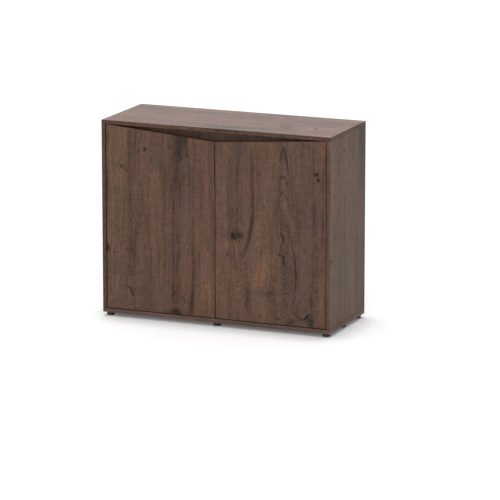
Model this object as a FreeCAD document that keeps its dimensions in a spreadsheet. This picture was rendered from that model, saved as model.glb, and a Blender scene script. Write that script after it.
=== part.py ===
import FreeCAD, Part
import os
import re

import Sketcher
from FreeCAD import Rotation, Vector

# Aquarium cabinet of melamine-faced board: two inset doors with a V-shaped finger gap above them.
# Millimetres. The origin is on the floor under the middle; +X is right seen from the front,
# +Y is towards the back and +Z is up.

# Driving dimensions: name, value, what it is
DRIVING = (
    ("width", 1010, "overall width"),
    ("depth", 394, "overall depth"),
    ("body_height", 810, "height without the feet"),
    ("board", 16, "board thickness, doors too"),
    ("edge_radius", 0.8, "rounding of the board edges"),
    ("foot_height", 15, "height of a foot"),
    ("foot_radius", 16, "radius of a foot"),
    ("foot_rounding", 2.5, "rounding of a foot's lower edge"),
    ("foot_inset_x", 23.5, "foot centre from the cabinet's side"),
    ("foot_inset_y", 25, "foot centre from the front and the back"),
    ("side_gap", 3.5, "gap between a door and its side panel"),
    ("middle_gap", 3.5, "gap between the doors"),
    ("bottom_gap", 3.5, "gap under a door"),
    ("top_gap", 2, "gap over a door at its outer edge"),
    ("grip_drop", 38.5, "fall of a door's top from its outer to its inner edge"),
    ("door_recess", 3, "door front behind the board edges"),
    ("rail_height", 100, "height of the front rail"),
    ("rail_setback", 30, "front rail behind the board edges"),
    ("back_inset", 4, "back panels in from the rear edges"),
    ("divider_clearance", 2, "divider behind the doors' backs"),
    ("shelf_rise", 369, "underside of the shelves above the bottom panel"),
    ("shelf_setback", 60, "shelf front behind the board edges"),
    ("shelf_play", 1, "gap at a shelf's ends"),
    ("shelf_rear_gap", 30, "hose gap behind a shelf"),
    ("pin_row_inset", 120, "pin rows from the middle of the depth"),
    ("pin_pitch", 32, "spacing of the shelf pin holes"),
    ("pin_hole_radius", 2.5, "radius of a shelf pin hole"),
    ("pin_hole_depth", 7.5, "depth of a shelf pin hole"),
    ("pin_tab", 8, "length and width of a shelf pin's tab"),
    ("pin_tab_height", 6, "height of a shelf pin's tab"),
    ("slip", 0.05, "radial clearance of pins, bolts and dowels"),
    ("cam_radius", 7.5, "radius of a cam lock's bore"),
    ("cam_depth", 12.5, "depth of a cam lock's bore"),
    ("cam_setback", 34, "cam centre from the end of its board"),
    ("cam_bolt_radius", 3, "radius of a cam bolt"),
    ("cam_bolt_grip", 11, "length of a cam bolt in the mating board"),
    ("cam_slot", 1.4, "width of a cam's screwdriver slot"),
    ("cam_slot_depth", 2, "depth of a cam's screwdriver slot"),
    ("dowel_radius", 4, "radius of a dowel"),
    ("dowel_long", 19, "dowel in the end of a board"),
    ("dowel_short", 11, "dowel in the face of a board"),
    ("bolt_offset", 110, "cam bolts from the middle of the depth"),
    ("dowel_offset", 60, "dowels from the middle of the depth"),
    ("back_dowel_offset", 150, "back panel dowels from the panel's middle"),
    ("hose_hole_radius", 30, "radius of the hose hole in a back panel"),
    ("hose_bore_radius", 25, "clear radius of a grommet"),
    ("hose_drop", 169, "hose hole centre under the top panel"),
    ("grommet_flange", 6, "grommet flange over the hole's edge"),
    ("grommet_lip", 2.5, "thickness of a grommet flange"),
    ("hinge_rise", 100, "lower hinge above the bottom panel"),
    ("hinge_drop", 49, "upper hinge under the front rail"),
    ("pivot_inset", 15, "hinge pin from the door's outer edge"),
    ("pivot_depth", 7.5, "hinge pin behind the door's front"),
    ("hinge_pin_radius", 1.5, "radius of a hinge pin"),
    ("cup_radius", 17.5, "radius of the hinge cup's bore"),
    ("cup_depth", 12.5, "depth of the hinge cup's bore"),
    ("cup_edge", 4, "cup bore from the door's outer edge"),
    ("cup_wall", 0.8, "wall of a hinge cup"),
    ("cup_flange", 1.2, "thickness of a cup flange"),
    ("cup_flange_width", 24, "width of a cup flange"),
    ("cup_screw_spacing", 48, "distance between a cup's screws"),
    ("flange_margin", 7, "cup flange past its screws"),
    ("ear_gap", 7, "cup ears from the hinge's middle"),
    ("ear_thickness", 2, "thickness of a cup ear"),
    ("arm_width", 12, "width of a hinge arm"),
    ("arm_metal", 2, "thickness of a hinge arm"),
    ("barrel_radius", 2.6, "radius of the arm's barrel"),
    ("arm_reach", 15, "arm leg from the pin, towards the middle"),
    ("arm_crank", 18.5, "arm's cross bar behind the pin"),
    ("arm_tail", 78, "arm's rear end behind the pin"),
    ("plate_height", 7.5, "hinge plate's height off the side panel"),
    ("plate_start", 30, "hinge plate's front end behind the pin"),
    ("plate_length", 52, "length of a hinge plate"),
    ("wing_thickness", 2.5, "thickness of a hinge plate's wings"),
    ("wing_length", 24, "length of a hinge plate's wings"),
    ("wing_half_height", 27, "half height across a hinge plate's wings"),
    ("plate_screw_offset", 19, "plate screws above and below the hinge's middle"),
    ("screw_radius", 1.9, "radius of a small wood screw"),
    ("screw_head_radius", 3.6, "radius of a small screw's head"),
    ("screw_head", 1.6, "height of a small screw's head"),
    ("screw_bite", 10, "length of a small screw in a board"),
    ("catch_drop", 149, "magnetic catch under the front rail"),
    ("catch_width", 14, "width of a magnetic catch"),
    ("catch_length", 22, "length of a magnetic catch, front to back"),
    ("catch_height", 44, "height of a magnetic catch"),
    ("magnet_height", 24, "height of the magnet's part of a catch"),
    ("strike_height", 40, "height of a strike plate"),
    ("strike_screw_offset", 14, "strike plate screws from the plate's middle"),
    ("strike_plate", 1.2, "thickness of a strike plate"),
    ("strike_gap", 0.4, "strike plate from its magnet"),
    ("bumper_radius", 2.8, "radius of a door bumper"),
    ("bumper_thickness", 1.6, "thickness of a door bumper"),
    ("bumper_rise", 59, "lower bumper above the bottom panel"),
    ("bumper_drop", 29, "upper bumper under the front rail"),
    ("foot_screw_bite", 12, "length of a foot screw in the bottom panel"),
    ("foot_bore", 8, "depth of the screw's counterbore in a foot"),
    ("foot_bore_radius", 5, "radius of that counterbore"),
)

# Sizes worked out from the driving dimensions, by name
WORKED_OUT = {
    "front": "-depth/2",
    "rear": "depth/2",
    "half_inner": "width/2 - board",
    "floor_top": "foot_height + board",
    "roof": "foot_height + body_height - board",
    "overall": "foot_height + body_height",
    "side_middle": "half_inner + board/2",
    "bay_middle": "(half_inner + board/2)/2",
    "door_front": "front + door_recess",
    "door_back": "door_front + board",
    "door_outer": "half_inner - side_gap",
    "door_inner": "middle_gap/2",
    "door_foot": "floor_top + bottom_gap",
    "door_outer_top": "roof - top_gap",
    "door_inner_top": "door_outer_top - grip_drop",
    "rail_front": "front + rail_setback",
    "rail_back": "rail_front + board",
    "rail_foot": "roof - rail_height",
    "back_rear": "rear - back_inset",
    "back_front": "back_rear - board",
    "divider_front": "door_back + divider_clearance",
    "shelf_level": "floor_top + shelf_rise",
    "shelf_front": "front + shelf_setback",
    "shelf_rear": "back_front - shelf_rear_gap",
    "shelf_top": "shelf_level + board",
    "hose_level": "roof - hose_drop",
    "hinge_low": "floor_top + hinge_rise",
    "hinge_high": "rail_foot - hinge_drop",
    "bumper_low": "floor_top + bumper_rise",
    "bumper_high": "rail_foot - bumper_drop",
    "pivot_x": "door_outer - pivot_inset",
    "pivot_y": "door_front + pivot_depth",
    "cup_x": "door_outer - cup_edge - cup_radius",
    "plate_y": "pivot_y + plate_start",
    "plate_face": "half_inner - plate_height",
    "wing_y": "plate_y + wing_length/2",
    "clamp_y": "plate_y + (plate_length + wing_length)/2",
    "catch_level": "rail_foot - catch_drop",
    "catch_middle": "board/2 + catch_width/2",
    "catch_lug": "(catch_height + magnet_height)/4",
    "catch_front": "door_back + strike_plate + strike_gap",
    "foot_x": "width/2 - foot_inset_x",
    "foot_y": "depth/2 - foot_inset_y",
}

SIDES = ("left", "right")
HINGES = {"lower": "hinge_low", "upper": "hinge_high"}
COLUMNS = {"left": "-foot_x", "centre": "0", "right": "foot_x"}
ROWS = {"front": "-foot_y", "middle": "0", "rear": "foot_y"}
PIN_HOLES = range(-2, 3)

# Turns that point a cylinder's axis along the named direction
TURNS = {
    "z": Rotation(),
    "-z": Rotation(Vector(1, 0, 0), 180),
    "x": Rotation(Vector(0, 1, 0), 90),
    "-x": Rotation(Vector(0, 1, 0), -90),
    "y": Rotation(Vector(1, 0, 0), -90),
    "-y": Rotation(Vector(1, 0, 0), 90),
}
OUTWARD = {"left": "-x", "right": "x"}
INWARD = {"left": "x", "right": "-x"}

os.makedirs("parts", exist_ok=True)
doc = FreeCAD.newDocument("aquarium_cabinet")
nodes = []

sheet = doc.addObject("Spreadsheet::Sheet", "Sizes")
for row, (alias, size, meaning) in enumerate(DRIVING, start=1):
    sheet.set(f"A{row}", meaning)
    sheet.set(f"B{row}", str(size))
    sheet.setAlias(f"B{row}", alias)
doc.recompute()
ALIASES = {alias for alias, size, meaning in DRIVING}


def spelled_out(text):
    """Turn the plain size names in an expression into references to the sheet."""
    def reference(match):
        word = match.group(0)
        if word in ALIASES:
            return f"Sizes.{word}"
        return f"({spelled_out(WORKED_OUT[word])})"
    return re.sub(r"[a-z_]+", reference, text)


def bind(thing, prop, text):
    thing.setExpression(prop, spelled_out(text))


def place(thing, corner, turn="z"):
    thing.Placement.Rotation = TURNS[turn]
    for axis, text in zip("xyz", corner):
        bind(thing, f"Placement.Base.{axis}", text)


def node(thing, name):
    """Name a finished sub-part, which is written to a file of that name."""
    thing.Label = name
    nodes.append(thing)
    return thing


def block(name, xs, ys, zs):
    """A box from its low and high place along each axis."""
    solid = doc.addObject("Part::Box", name)
    for prop, (low, high) in zip(("Length", "Width", "Height"), (xs, ys, zs)):
        bind(solid, prop, f"({high}) - ({low})")
    place(solid, (xs[0], ys[0], zs[0]))
    return solid


def rod(name, radius, length, base, turn):
    solid = doc.addObject("Part::Cylinder", name)
    bind(solid, "Radius", radius)
    bind(solid, "Height", length)
    place(solid, base, turn)
    return solid


def fused(name, solids):
    whole = doc.addObject("Part::MultiFuse", name)
    whole.Shapes = solids
    return whole


def group(name, solids):
    whole = doc.addObject("Part::Compound", name)
    whole.Links = solids
    return whole


def cut(name, solid, tools):
    whole = doc.addObject("Part::Cut", name)
    whole.Base = solid
    whole.Tool = tools[0] if len(tools) == 1 else group(f"{name}_tools", tools)
    return whole


def eased(name, solid):
    """Round every edge of a board."""
    doc.recompute()
    radius = sheet.get("edge_radius")
    soft = doc.addObject("Part::Fillet", name)
    soft.Base = solid
    soft.Edges = [(i + 1, radius, radius) for i in range(len(solid.Shape.Edges))]
    return soft


def signed(side, distance):
    return distance if side == "right" else f"-({distance})"


def sided(side, near, far):
    """The span from near to far, measured from the middle plane towards one side."""
    return (near, far) if side == "right" else (f"-({far})", f"-({near})")


def sketch_on(body, role):
    plane = next(f for f in body.Origin.OriginFeatures if f.Role == role)
    sketch = body.newObject("Sketcher::SketchObject", f"{body.Name}_sketch")
    sketch.AttachmentSupport = [(plane, "")]
    sketch.MapMode = "FlatFace"
    return sketch


def pin_point(sketch, curve, end, place_text):
    """Hold one point of a sketch at a place given by two expressions."""
    for kind, text in zip(("DistanceX", "DistanceY"), place_text):
        index = sketch.addConstraint(Sketcher.Constraint(kind, -1, 1, curve, end, 1.0))
        sketch.renameConstraint(index, f"{kind}_{curve}")
        bind(sketch, f"Constraints.{kind}_{curve}", text)


def outline(sketch, points, guess):
    """A closed outline of straight lines; guess holds rough places to start from."""
    count = len(points)
    for i in range(count):
        start = Vector(*guess[i], 0)
        end = Vector(*guess[(i + 1) % count], 0)
        sketch.addGeometry(Part.LineSegment(start, end))
    for i in range(count):
        sketch.addConstraint(Sketcher.Constraint("Coincident", i, 2, (i + 1) % count, 1))
    for i, point in enumerate(points):
        pin_point(sketch, i, 1, point)


def circles(sketch, radius, centres):
    for i, centre in enumerate(centres):
        sketch.addGeometry(Part.Circle(Vector(10.0 * i, 0, 0), Vector(0, 0, 1), 1.0))
        pin_point(sketch, i, 3, centre)
        index = sketch.addConstraint(Sketcher.Constraint("Radius", i, 1.0))
        sketch.renameConstraint(index, f"Radius_{i}")
        bind(sketch, f"Constraints.Radius_{i}", radius)


def pad(body, sketch, length):
    feature = body.newObject("PartDesign::Pad", f"{body.Name}_pad")
    feature.Profile = sketch
    bind(feature, "Length", length)
    doc.recompute()
    return feature


def pocket(body, sketch, depth, turned_round):
    before = body.Shape.Volume
    feature = body.newObject("PartDesign::Pocket", f"{body.Name}_pocket")
    feature.Profile = sketch
    feature.Reversed = turned_round
    bind(feature, "Length", depth)
    doc.recompute()
    if not body.Shape.Volume < before:
        raise RuntimeError(f"{body.Name}: the pocket cuts nothing")
    return feature


def small_screw(name, base, turn, grip):
    """A round-headed wood screw: the head outside base, the shank through grip and into a board."""
    away = {"x": "-x", "-x": "x", "y": "-y", "-y": "y"}[turn]
    head = rod(f"{name}_head", "screw_head_radius", "screw_head", base, away)
    shank = rod(f"{name}_shank", "screw_radius", f"{grip} + screw_bite", base, turn)
    return fused(name, [head, shank])


def screw_hole(name, base, turn, depth):
    return rod(name, "screw_radius + slip", depth, base, turn)


# Joint fittings of the upright boards: where each board's middle is, and the face its cams sit in
UPRIGHTS = {
    "left_side_panel": ("-(side_middle)", "-(half_inner)", "-x"),
    "right_side_panel": ("side_middle", "half_inner", "x"),
    "centre_divider": ("0", "-board/2", "x"),
}
# Ends of the uprights: the level of the joint, and which way the upright and the other board go from it
ENDS = {
    "bottom_panel": ("floor_top", "z", "-z"),
    "top_panel": ("roof", "-z", "z"),
}
OFFSETS = ("-1", "1")

cams = []
bolts = []
dowels = []
bores = {name: [] for name in (*UPRIGHTS, *ENDS, "front_rail", "left_back_panel", "right_back_panel")}


def cam_fitting(name, board, mate, seat, face, cam_turn, in_board, in_mate, far_end):
    """A cam in its board's face and the bolt that it draws in from the mating board.

    seat is the bolt's place in the joint, face the cam's place in the board's face, and far_end the
    bolt's end in the mating board.
    """
    bolt_hole = "cam_bolt_radius + slip"
    bores[board].append(rod(f"{name}_bore", "cam_radius", "cam_depth", face, cam_turn))
    bores[board].append(rod(f"{name}_run", bolt_hole, "cam_setback", seat, in_board))
    bores[mate].append(rod(f"{name}_thread", bolt_hole, "cam_bolt_grip", seat, in_mate))
    barrel = rod(f"{name}_barrel", "cam_radius - slip", "cam_depth - 2*slip", face, cam_turn)
    run = rod(f"{name}_cavity", bolt_hole, "cam_setback + slip", seat, in_board)
    half = {"x": "cam_slot/2", "y": "cam_slot/2", "z": "cam_radius"}
    half[cam_turn.strip("-")] = "cam_slot_depth"
    spans = [(f"{at} - {half[axis]}", f"{at} + {half[axis]}") for axis, at in zip("xyz", face)]
    slot = block(f"{name}_slot", *spans)
    cams.append(cut(f"{name}_cam", barrel, [run, slot]))
    bolts.append(rod(f"{name}_bolt", "cam_bolt_radius", "cam_bolt_grip + cam_setback", far_end, in_board))


def dowel_fitting(name, board, mate, seat, in_board, in_mate, start):
    hole = "dowel_radius + slip"
    bores[board].append(rod(f"{name}_end_hole", hole, "dowel_long", seat, in_board))
    bores[mate].append(rod(f"{name}_face_hole", hole, "dowel_short", seat, in_mate))
    dowels.append(rod(f"{name}_dowel", "dowel_radius", "dowel_long + dowel_short", start, in_board))


def upright_joints():
    """Two cams and two dowels at each end of the sides and the divider."""
    for board, (x, face_x, cam_turn) in UPRIGHTS.items():
        for mate, (level, in_board, in_mate) in ENDS.items():
            up = 1 if in_board == "z" else -1
            for number, way in enumerate(OFFSETS):
                name = f"{board}_{mate}_{number}"
                y = f"{way}*bolt_offset"
                cam_level = f"{level} + {up}*cam_setback"
                cam_fitting(
                    name, board, mate, (x, y, level), (face_x, y, cam_level), cam_turn,
                    in_board, in_mate, (x, y, f"{level} - {up}*cam_bolt_grip"),
                )
                dowel_y = f"{way}*dowel_offset"
                start = (x, dowel_y, f"{level} - {up}*dowel_short")
                dowel_fitting(name, board, mate, (x, dowel_y, level), in_board, in_mate, start)


def rail_joints():
    """One cam and two dowels at each end of the front rail, from the side panels."""
    rail_middle = "rail_front + board/2"
    level = "roof - rail_height/2"
    for side in SIDES:
        way = 1 if side == "right" else -1
        mate = f"{side}_side_panel"
        x = signed(side, "half_inner")
        cam_x = signed(side, "half_inner - cam_setback")
        cam_fitting(
            f"rail_{side}", "front_rail", mate, (x, rail_middle, level), (cam_x, "rail_back", level),
            "-y", INWARD[side], OUTWARD[side], (f"{x} + {way}*cam_bolt_grip", rail_middle, level),
        )
        for number, lift in enumerate(OFFSETS):
            seat = (x, rail_middle, f"{level} + {lift}*rail_height*0.3")
            start = (f"{x} + {way}*dowel_short", *seat[1:])
            dowel_fitting(
                f"rail_{side}_{number}", "front_rail", mate, seat, INWARD[side], OUTWARD[side], start,
            )


def back_joints():
    """Dowels at the foot and the head of each back panel."""
    y = "back_front + board/2"
    for side in SIDES:
        for mate, (level, in_board, in_mate) in ENDS.items():
            up = 1 if in_board == "z" else -1
            for number, way in enumerate(OFFSETS):
                x = signed(side, f"bay_middle + {way}*back_dowel_offset")
                start = (x, y, f"{level} - {up}*dowel_short")
                name = f"{side}_back_{mate}_{number}"
                dowel_fitting(name, f"{side}_back_panel", mate, (x, y, level), in_board, in_mate, start)


def pin_holes(name, face_x, turn):
    """Two rows of shelf pin holes in one face of an upright."""
    holes = []
    for number, way in enumerate(OFFSETS):
        for step in PIN_HOLES:
            base = (face_x, f"{way}*pin_row_inset", f"shelf_level - pin_tab_height/2 + ({step})*pin_pitch")
            holes.append(rod(f"{name}_{number}", "pin_hole_radius", "pin_hole_depth", base, turn))
    return holes


def horizontal_boards():
    """Top and bottom panels, over the full width and depth."""
    foot_holes = [
        rod("foot_hole", "screw_radius + slip", "foot_screw_bite", (x, y, "foot_height"), "z")
        for x in COLUMNS.values() for y in ROWS.values()
    ]
    bores["bottom_panel"].extend(foot_holes)
    levels = {"bottom_panel": ("foot_height", "floor_top"), "top_panel": ("roof", "overall")}
    for name, level in levels.items():
        raw = block(f"{name}_board", ("-width/2", "width/2"), ("front", "rear"), level)
        node(cut(f"{name}_bored", eased(f"{name}_eased", raw), bores[name]), name)


def side_panels():
    for side in SIDES:
        name = f"{side}_side_panel"
        face = signed(side, "half_inner")
        span = sided(side, "half_inner", "width/2")
        raw = block(f"{name}_board", span, ("front", "rear"), ("floor_top", "roof"))
        holes = pin_holes(f"{side}_pin_hole", face, OUTWARD[side])
        for level in HINGES.values():
            for way in OFFSETS:
                base = (face, "wing_y", f"{level} + {way}*plate_screw_offset")
                holes.append(screw_hole(f"{side}_plate_hole", base, OUTWARD[side], "screw_bite"))
        node(cut(f"{name}_bored", eased(f"{name}_eased", raw), bores[name] + holes), name)


def centre_divider():
    """The divider, notched at the head of its front edge for the front rail."""
    raw = block(
        "divider_board", ("-board/2", "board/2"), ("divider_front", "back_rear"), ("floor_top", "roof"),
    )
    notch = block(
        "divider_notch", ("-board", "board"), ("divider_front - board", "rail_back"),
        ("rail_foot", "roof + board"),
    )
    holes = pin_holes("divider_left_pin_hole", "-board/2", "x")
    holes += pin_holes("divider_right_pin_hole", "board/2", "-x")
    for side in SIDES:
        for way in OFFSETS:
            base = (
                signed(side, "board/2"), "catch_front + catch_length/2", f"catch_level + {way}*catch_lug",
            )
            holes.append(screw_hole(f"{side}_catch_hole", base, INWARD[side], "screw_bite/2"))
    tools = [notch] + bores["centre_divider"] + holes
    node(cut("divider_bored", eased("divider_eased", raw), tools), "centre_divider")


def front_rail():
    span = ("-half_inner", "half_inner")
    raw = block("rail_board", span, ("rail_front", "rail_back"), ("rail_foot", "roof"))
    node(cut("rail_bored", eased("rail_eased", raw), bores["front_rail"]), "front_rail")


def back_panels():
    """Back panels between the sides and the divider, each with a hose hole and its grommet."""
    for side in SIDES:
        name = f"{side}_back_panel"
        raw = block(
            f"{name}_board", sided(side, "board/2", "half_inner"), ("back_front", "back_rear"),
            ("floor_top", "roof"),
        )
        middle = (signed(side, "bay_middle"), "back_front", "hose_level")
        hole = rod(f"{name}_hose_hole", "hose_hole_radius", "board", middle, "y")
        node(cut(f"{name}_bored", eased(f"{name}_eased", raw), bores[name] + [hole]), name)
        sleeve = rod(f"{side}_sleeve", "hose_hole_radius - slip", "board", middle, "y")
        rear = (middle[0], "back_rear", middle[2])
        flange = rod(f"{side}_flange", "hose_hole_radius + grommet_flange", "grommet_lip", rear, "y")
        bore = rod(f"{side}_hose_bore", "hose_bore_radius", "board + grommet_lip", middle, "y")
        ring = fused(f"{side}_grommet_ring", [sleeve, flange])
        node(cut(f"{side}_grommet", ring, [bore]), f"{side}_hose_grommet")


def shelves():
    """A shelf in each bay, on four pins."""
    pins = []
    for side in SIDES:
        ends = {"outer": ("half_inner", OUTWARD[side], 1), "inner": ("board/2", INWARD[side], -1)}
        span = sided(side, "board/2 + shelf_play", "half_inner - shelf_play")
        raw = block(
            f"{side}_shelf_board", span, ("shelf_front", "shelf_rear"), ("shelf_level", "shelf_top"),
        )
        node(eased(f"{side}_shelf_eased", raw), f"{side}_shelf")
        for end, (distance, turn, out) in ends.items():
            for number, way in enumerate(OFFSETS):
                y = f"{way}*pin_row_inset"
                name = f"{side}_{end}_pin_{number}"
                inner = f"{distance} - {out}*pin_tab"
                near, far = (inner, distance) if out == 1 else (distance, inner)
                tab = block(
                    f"{name}_tab", sided(side, near, far), (f"{y} - pin_tab/2", f"{y} + pin_tab/2"),
                    ("shelf_level - pin_tab_height", "shelf_level"),
                )
                seat = (signed(side, distance), y, "shelf_level - pin_tab_height/2")
                peg = rod(f"{name}_peg", "pin_hole_radius - slip", "pin_hole_depth - slip", seat, turn)
                pins.append(fused(name, [tab, peg]))
    node(group("shelf_pin_set", pins), "shelf_pins")


def feet():
    """Nine round plastic feet with rounded lower edges, each held by a screw in a counterbore."""
    screws = []
    for row, y in ROWS.items():
        for column, x in COLUMNS.items():
            name = f"{row}_{column}_foot"
            lower = rod(f"{name}_lower", "foot_radius - foot_rounding", "foot_rounding", (x, y, "0"), "z")
            upper = rod(
                f"{name}_upper", "foot_radius", "foot_height - foot_rounding", (x, y, "foot_rounding"), "z",
            )
            rim = doc.addObject("Part::Torus", f"{name}_rim")
            bind(rim, "Radius1", "foot_radius - foot_rounding")
            bind(rim, "Radius2", "foot_rounding")
            place(rim, (x, y, "foot_rounding"))
            bore = rod(f"{name}_bore", "foot_bore_radius", "foot_bore", (x, y, "0"), "z")
            through = rod(f"{name}_through", "screw_radius + slip", "foot_height", (x, y, "0"), "z")
            node(cut(f"{name}_drilled", fused(f"{name}_puck", [lower, upper, rim]), [bore, through]), name)
            head = rod(f"{name}_screw_head", "screw_head_radius", "screw_head", (x, y, "foot_bore"), "-z")
            length = "foot_height - foot_bore + foot_screw_bite"
            shank = rod(f"{name}_screw_shank", "screw_radius", length, (x, y, "foot_bore"), "z")
            screws.append(fused(f"{name}_screw", [head, shank]))
    node(group("foot_screw_set", screws), "foot_screws")


def doors():
    """Each door: a board with a sloping top, bored for two hinge cups, with strike plate and bumpers."""
    rough = ((0, 0), (400, 0), (400, 700), (0, 650))
    for side in SIDES:
        body = doc.addObject("PartDesign::Body", f"{side}_door_body")
        doc.recompute()
        face = sketch_on(body, "XZ_Plane")
        inner = signed(side, "door_inner")
        outer = signed(side, "door_outer")
        corners = (
            (inner, "door_foot"), (outer, "door_foot"),
            (outer, "door_outer_top"), (inner, "door_inner_top"),
        )
        turn = 1 if side == "right" else -1
        outline(face, corners, [(turn * x, z) for x, z in rough])
        solid = pad(body, face, "board")
        bind(body, "Placement.Base.y", "door_back")
        easing = body.newObject("PartDesign::Fillet", f"{side}_door_easing")
        easing.Base = (solid, [f"Edge{i + 1}" for i in range(len(solid.Shape.Edges))])
        bind(easing, "Radius", "edge_radius")
        doc.recompute()
        cup_face = sketch_on(body, "XZ_Plane")
        circles(cup_face, "cup_radius", [(signed(side, "cup_x"), level) for level in HINGES.values()])
        pocket(body, cup_face, "cup_depth", True)
        holes = []
        for level in HINGES.values():
            for way in OFFSETS:
                base = (signed(side, "cup_x"), "door_back", f"{level} + {way}*cup_screw_spacing/2")
                holes.append(screw_hole(f"{side}_cup_hole", base, "-y", "screw_bite"))
        strike_at = (signed(side, "catch_middle"), "door_back", "catch_level")
        for way in OFFSETS:
            base = (*strike_at[:2], f"catch_level + {way}*strike_screw_offset")
            holes.append(screw_hole(f"{side}_strike_hole", base, "-y", "screw_bite"))
        node(cut(f"{side}_door_drilled", body, holes), f"{side}_door")
        door_fittings(side)


def door_fittings(side):
    """Strike plate with its screws, and the two rubber bumpers that meet the divider."""
    x = signed(side, "catch_middle")
    plate = block(
        f"{side}_strike_raw", sided(side, "board/2", "board/2 + catch_width"),
        ("door_back", "door_back + strike_plate"),
        ("catch_level - strike_height/2", "catch_level + strike_height/2"),
    )
    holes = []
    screws = []
    for number, way in enumerate(OFFSETS):
        level = f"catch_level + {way}*strike_screw_offset"
        seat = (x, "door_back + strike_plate", level)
        holes.append(screw_hole(f"{side}_strike_through", seat, "-y", "strike_plate"))
        flush = rod(
            f"{side}_strike_head_{number}", "screw_head_radius - slip", "strike_plate/2",
            (x, "door_back + strike_plate/2", level), "y",
        )
        shank = rod(
            f"{side}_strike_shank_{number}", "screw_radius", "strike_plate/2 + screw_bite",
            (x, "door_back + strike_plate/2", level), "-y",
        )
        holes.append(rod(
            f"{side}_strike_sink_{number}", "screw_head_radius", "strike_plate/2",
            (x, "door_back + strike_plate/2", level), "y",
        ))
        screws.append(fused(f"{side}_strike_screw_{number}", [flush, shank]))
    node(cut(f"{side}_strike_drilled", plate, holes), f"{side}_strike_plate")
    node(group(f"{side}_strike_screw_set", screws), f"{side}_strike_screws")
    bumper_x = signed(side, "(board/2 + door_inner)/2")
    bumpers = [
        rod(f"{side}_bumper", "bumper_radius", "bumper_thickness", (bumper_x, "door_back", level), "y")
        for level in ("bumper_low", "bumper_high")
    ]
    node(group(f"{side}_bumper_set", bumpers), f"{side}_door_bumpers")


def catches():
    """Magnetic catches on both faces of the divider, and their screws."""
    screws = []
    for side in SIDES:
        rear = "catch_front + catch_length"
        span = sided(side, "board/2", "board/2 + catch_width")
        case = block(
            f"{side}_catch_case", span, ("catch_front", rear),
            ("catch_level - catch_height/2", "catch_level + catch_height/2"),
        )
        over_lugs = sided(side, "board/2 + wing_thickness", "board/2 + catch_width")
        steps = [
            block(f"{side}_catch_step_{number}", over_lugs, ("catch_front", rear), levels)
            for number, levels in enumerate((
                ("catch_level - catch_height/2", "catch_level - magnet_height/2"),
                ("catch_level + magnet_height/2", "catch_level + catch_height/2"),
            ))
        ]
        holes = []
        for number, way in enumerate(OFFSETS):
            level = f"catch_level + {way}*catch_lug"
            seat = (signed(side, "board/2 + wing_thickness"), "catch_front + catch_length/2", level)
            holes.append(screw_hole(f"{side}_catch_through", seat, INWARD[side], "wing_thickness"))
            screws.append((side, number, seat))
        node(cut(f"{side}_catch_cut", case, steps + holes), f"{side}_magnetic_catch")
    solids = []
    for side, number, seat in screws:
        head = rod(f"{side}_catch_head", "screw_head_radius", "screw_head", seat, OUTWARD[side])
        length = "wing_thickness + screw_bite/2"
        shank = rod(f"{side}_catch_shank", "screw_radius", length, seat, INWARD[side])
        solids.append(fused(f"{side}_catch_screw_{number}", [head, shank]))
    node(group("catch_screw_set", solids), "catch_screws")


def hinge_cup(side, name, level):
    """A pressed steel cup with its flange, and two ears inside that hold the hinge pin."""
    x = signed(side, "cup_x")
    floor = "door_back - cup_depth + 2*slip"
    half_flange = "(cup_screw_spacing/2 + flange_margin)"
    shell = rod(f"{name}_shell", "cup_radius - slip", "cup_depth - 2*slip", (x, floor, level), "y")
    flange = block(
        f"{name}_flange", (f"{x} - cup_flange_width/2", f"{x} + cup_flange_width/2"),
        ("door_back", "door_back + cup_flange"), (f"{level} - {half_flange}", f"{level} + {half_flange}"),
    )
    rim = rod(f"{name}_rim", "cup_radius + cup_flange", "cup_flange", (x, "door_back", level), "y")
    hollow = rod(
        f"{name}_hollow", "cup_radius - slip - cup_wall", "cup_depth + cup_flange",
        (x, f"{floor} + cup_wall", level), "y",
    )
    screw_holes = [
        screw_hole(
            f"{name}_screw_hole_{number}",
            (x, "door_back + cup_flange", f"{level} + {way}*cup_screw_spacing/2"), "-y", "cup_flange",
        )
        for number, way in enumerate(OFFSETS)
    ]
    pressing = cut(f"{name}_pressing", fused(f"{name}_blank", [shell, flange, rim]), [hollow] + screw_holes)
    pin_x = signed(side, "pivot_x")
    ears = [
        block(
            f"{name}_ear_{number}", (f"{pin_x} - barrel_radius", f"{pin_x} + barrel_radius"),
            (f"{floor} + cup_wall/2", "pivot_y + barrel_radius"), span,
        )
        for number, span in enumerate((
            (f"{level} + ear_gap", f"{level} + ear_gap + ear_thickness"),
            (f"{level} - ear_gap - ear_thickness", f"{level} - ear_gap"),
        ))
    ]
    pin_foot = (pin_x, "pivot_y", f"{level} - ear_gap - ear_thickness")
    pin_length = "2*ear_gap + 2*ear_thickness"
    eye = rod(f"{name}_eye", "hinge_pin_radius + slip", pin_length, pin_foot, "z")
    node(cut(f"{name}_finished", fused(f"{name}_with_ears", [pressing] + ears), [eye]), f"{name}_cup")
    node(rod(f"{name}_pin_rod", "hinge_pin_radius", pin_length, pin_foot, "z"), f"{name}_pin")


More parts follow.
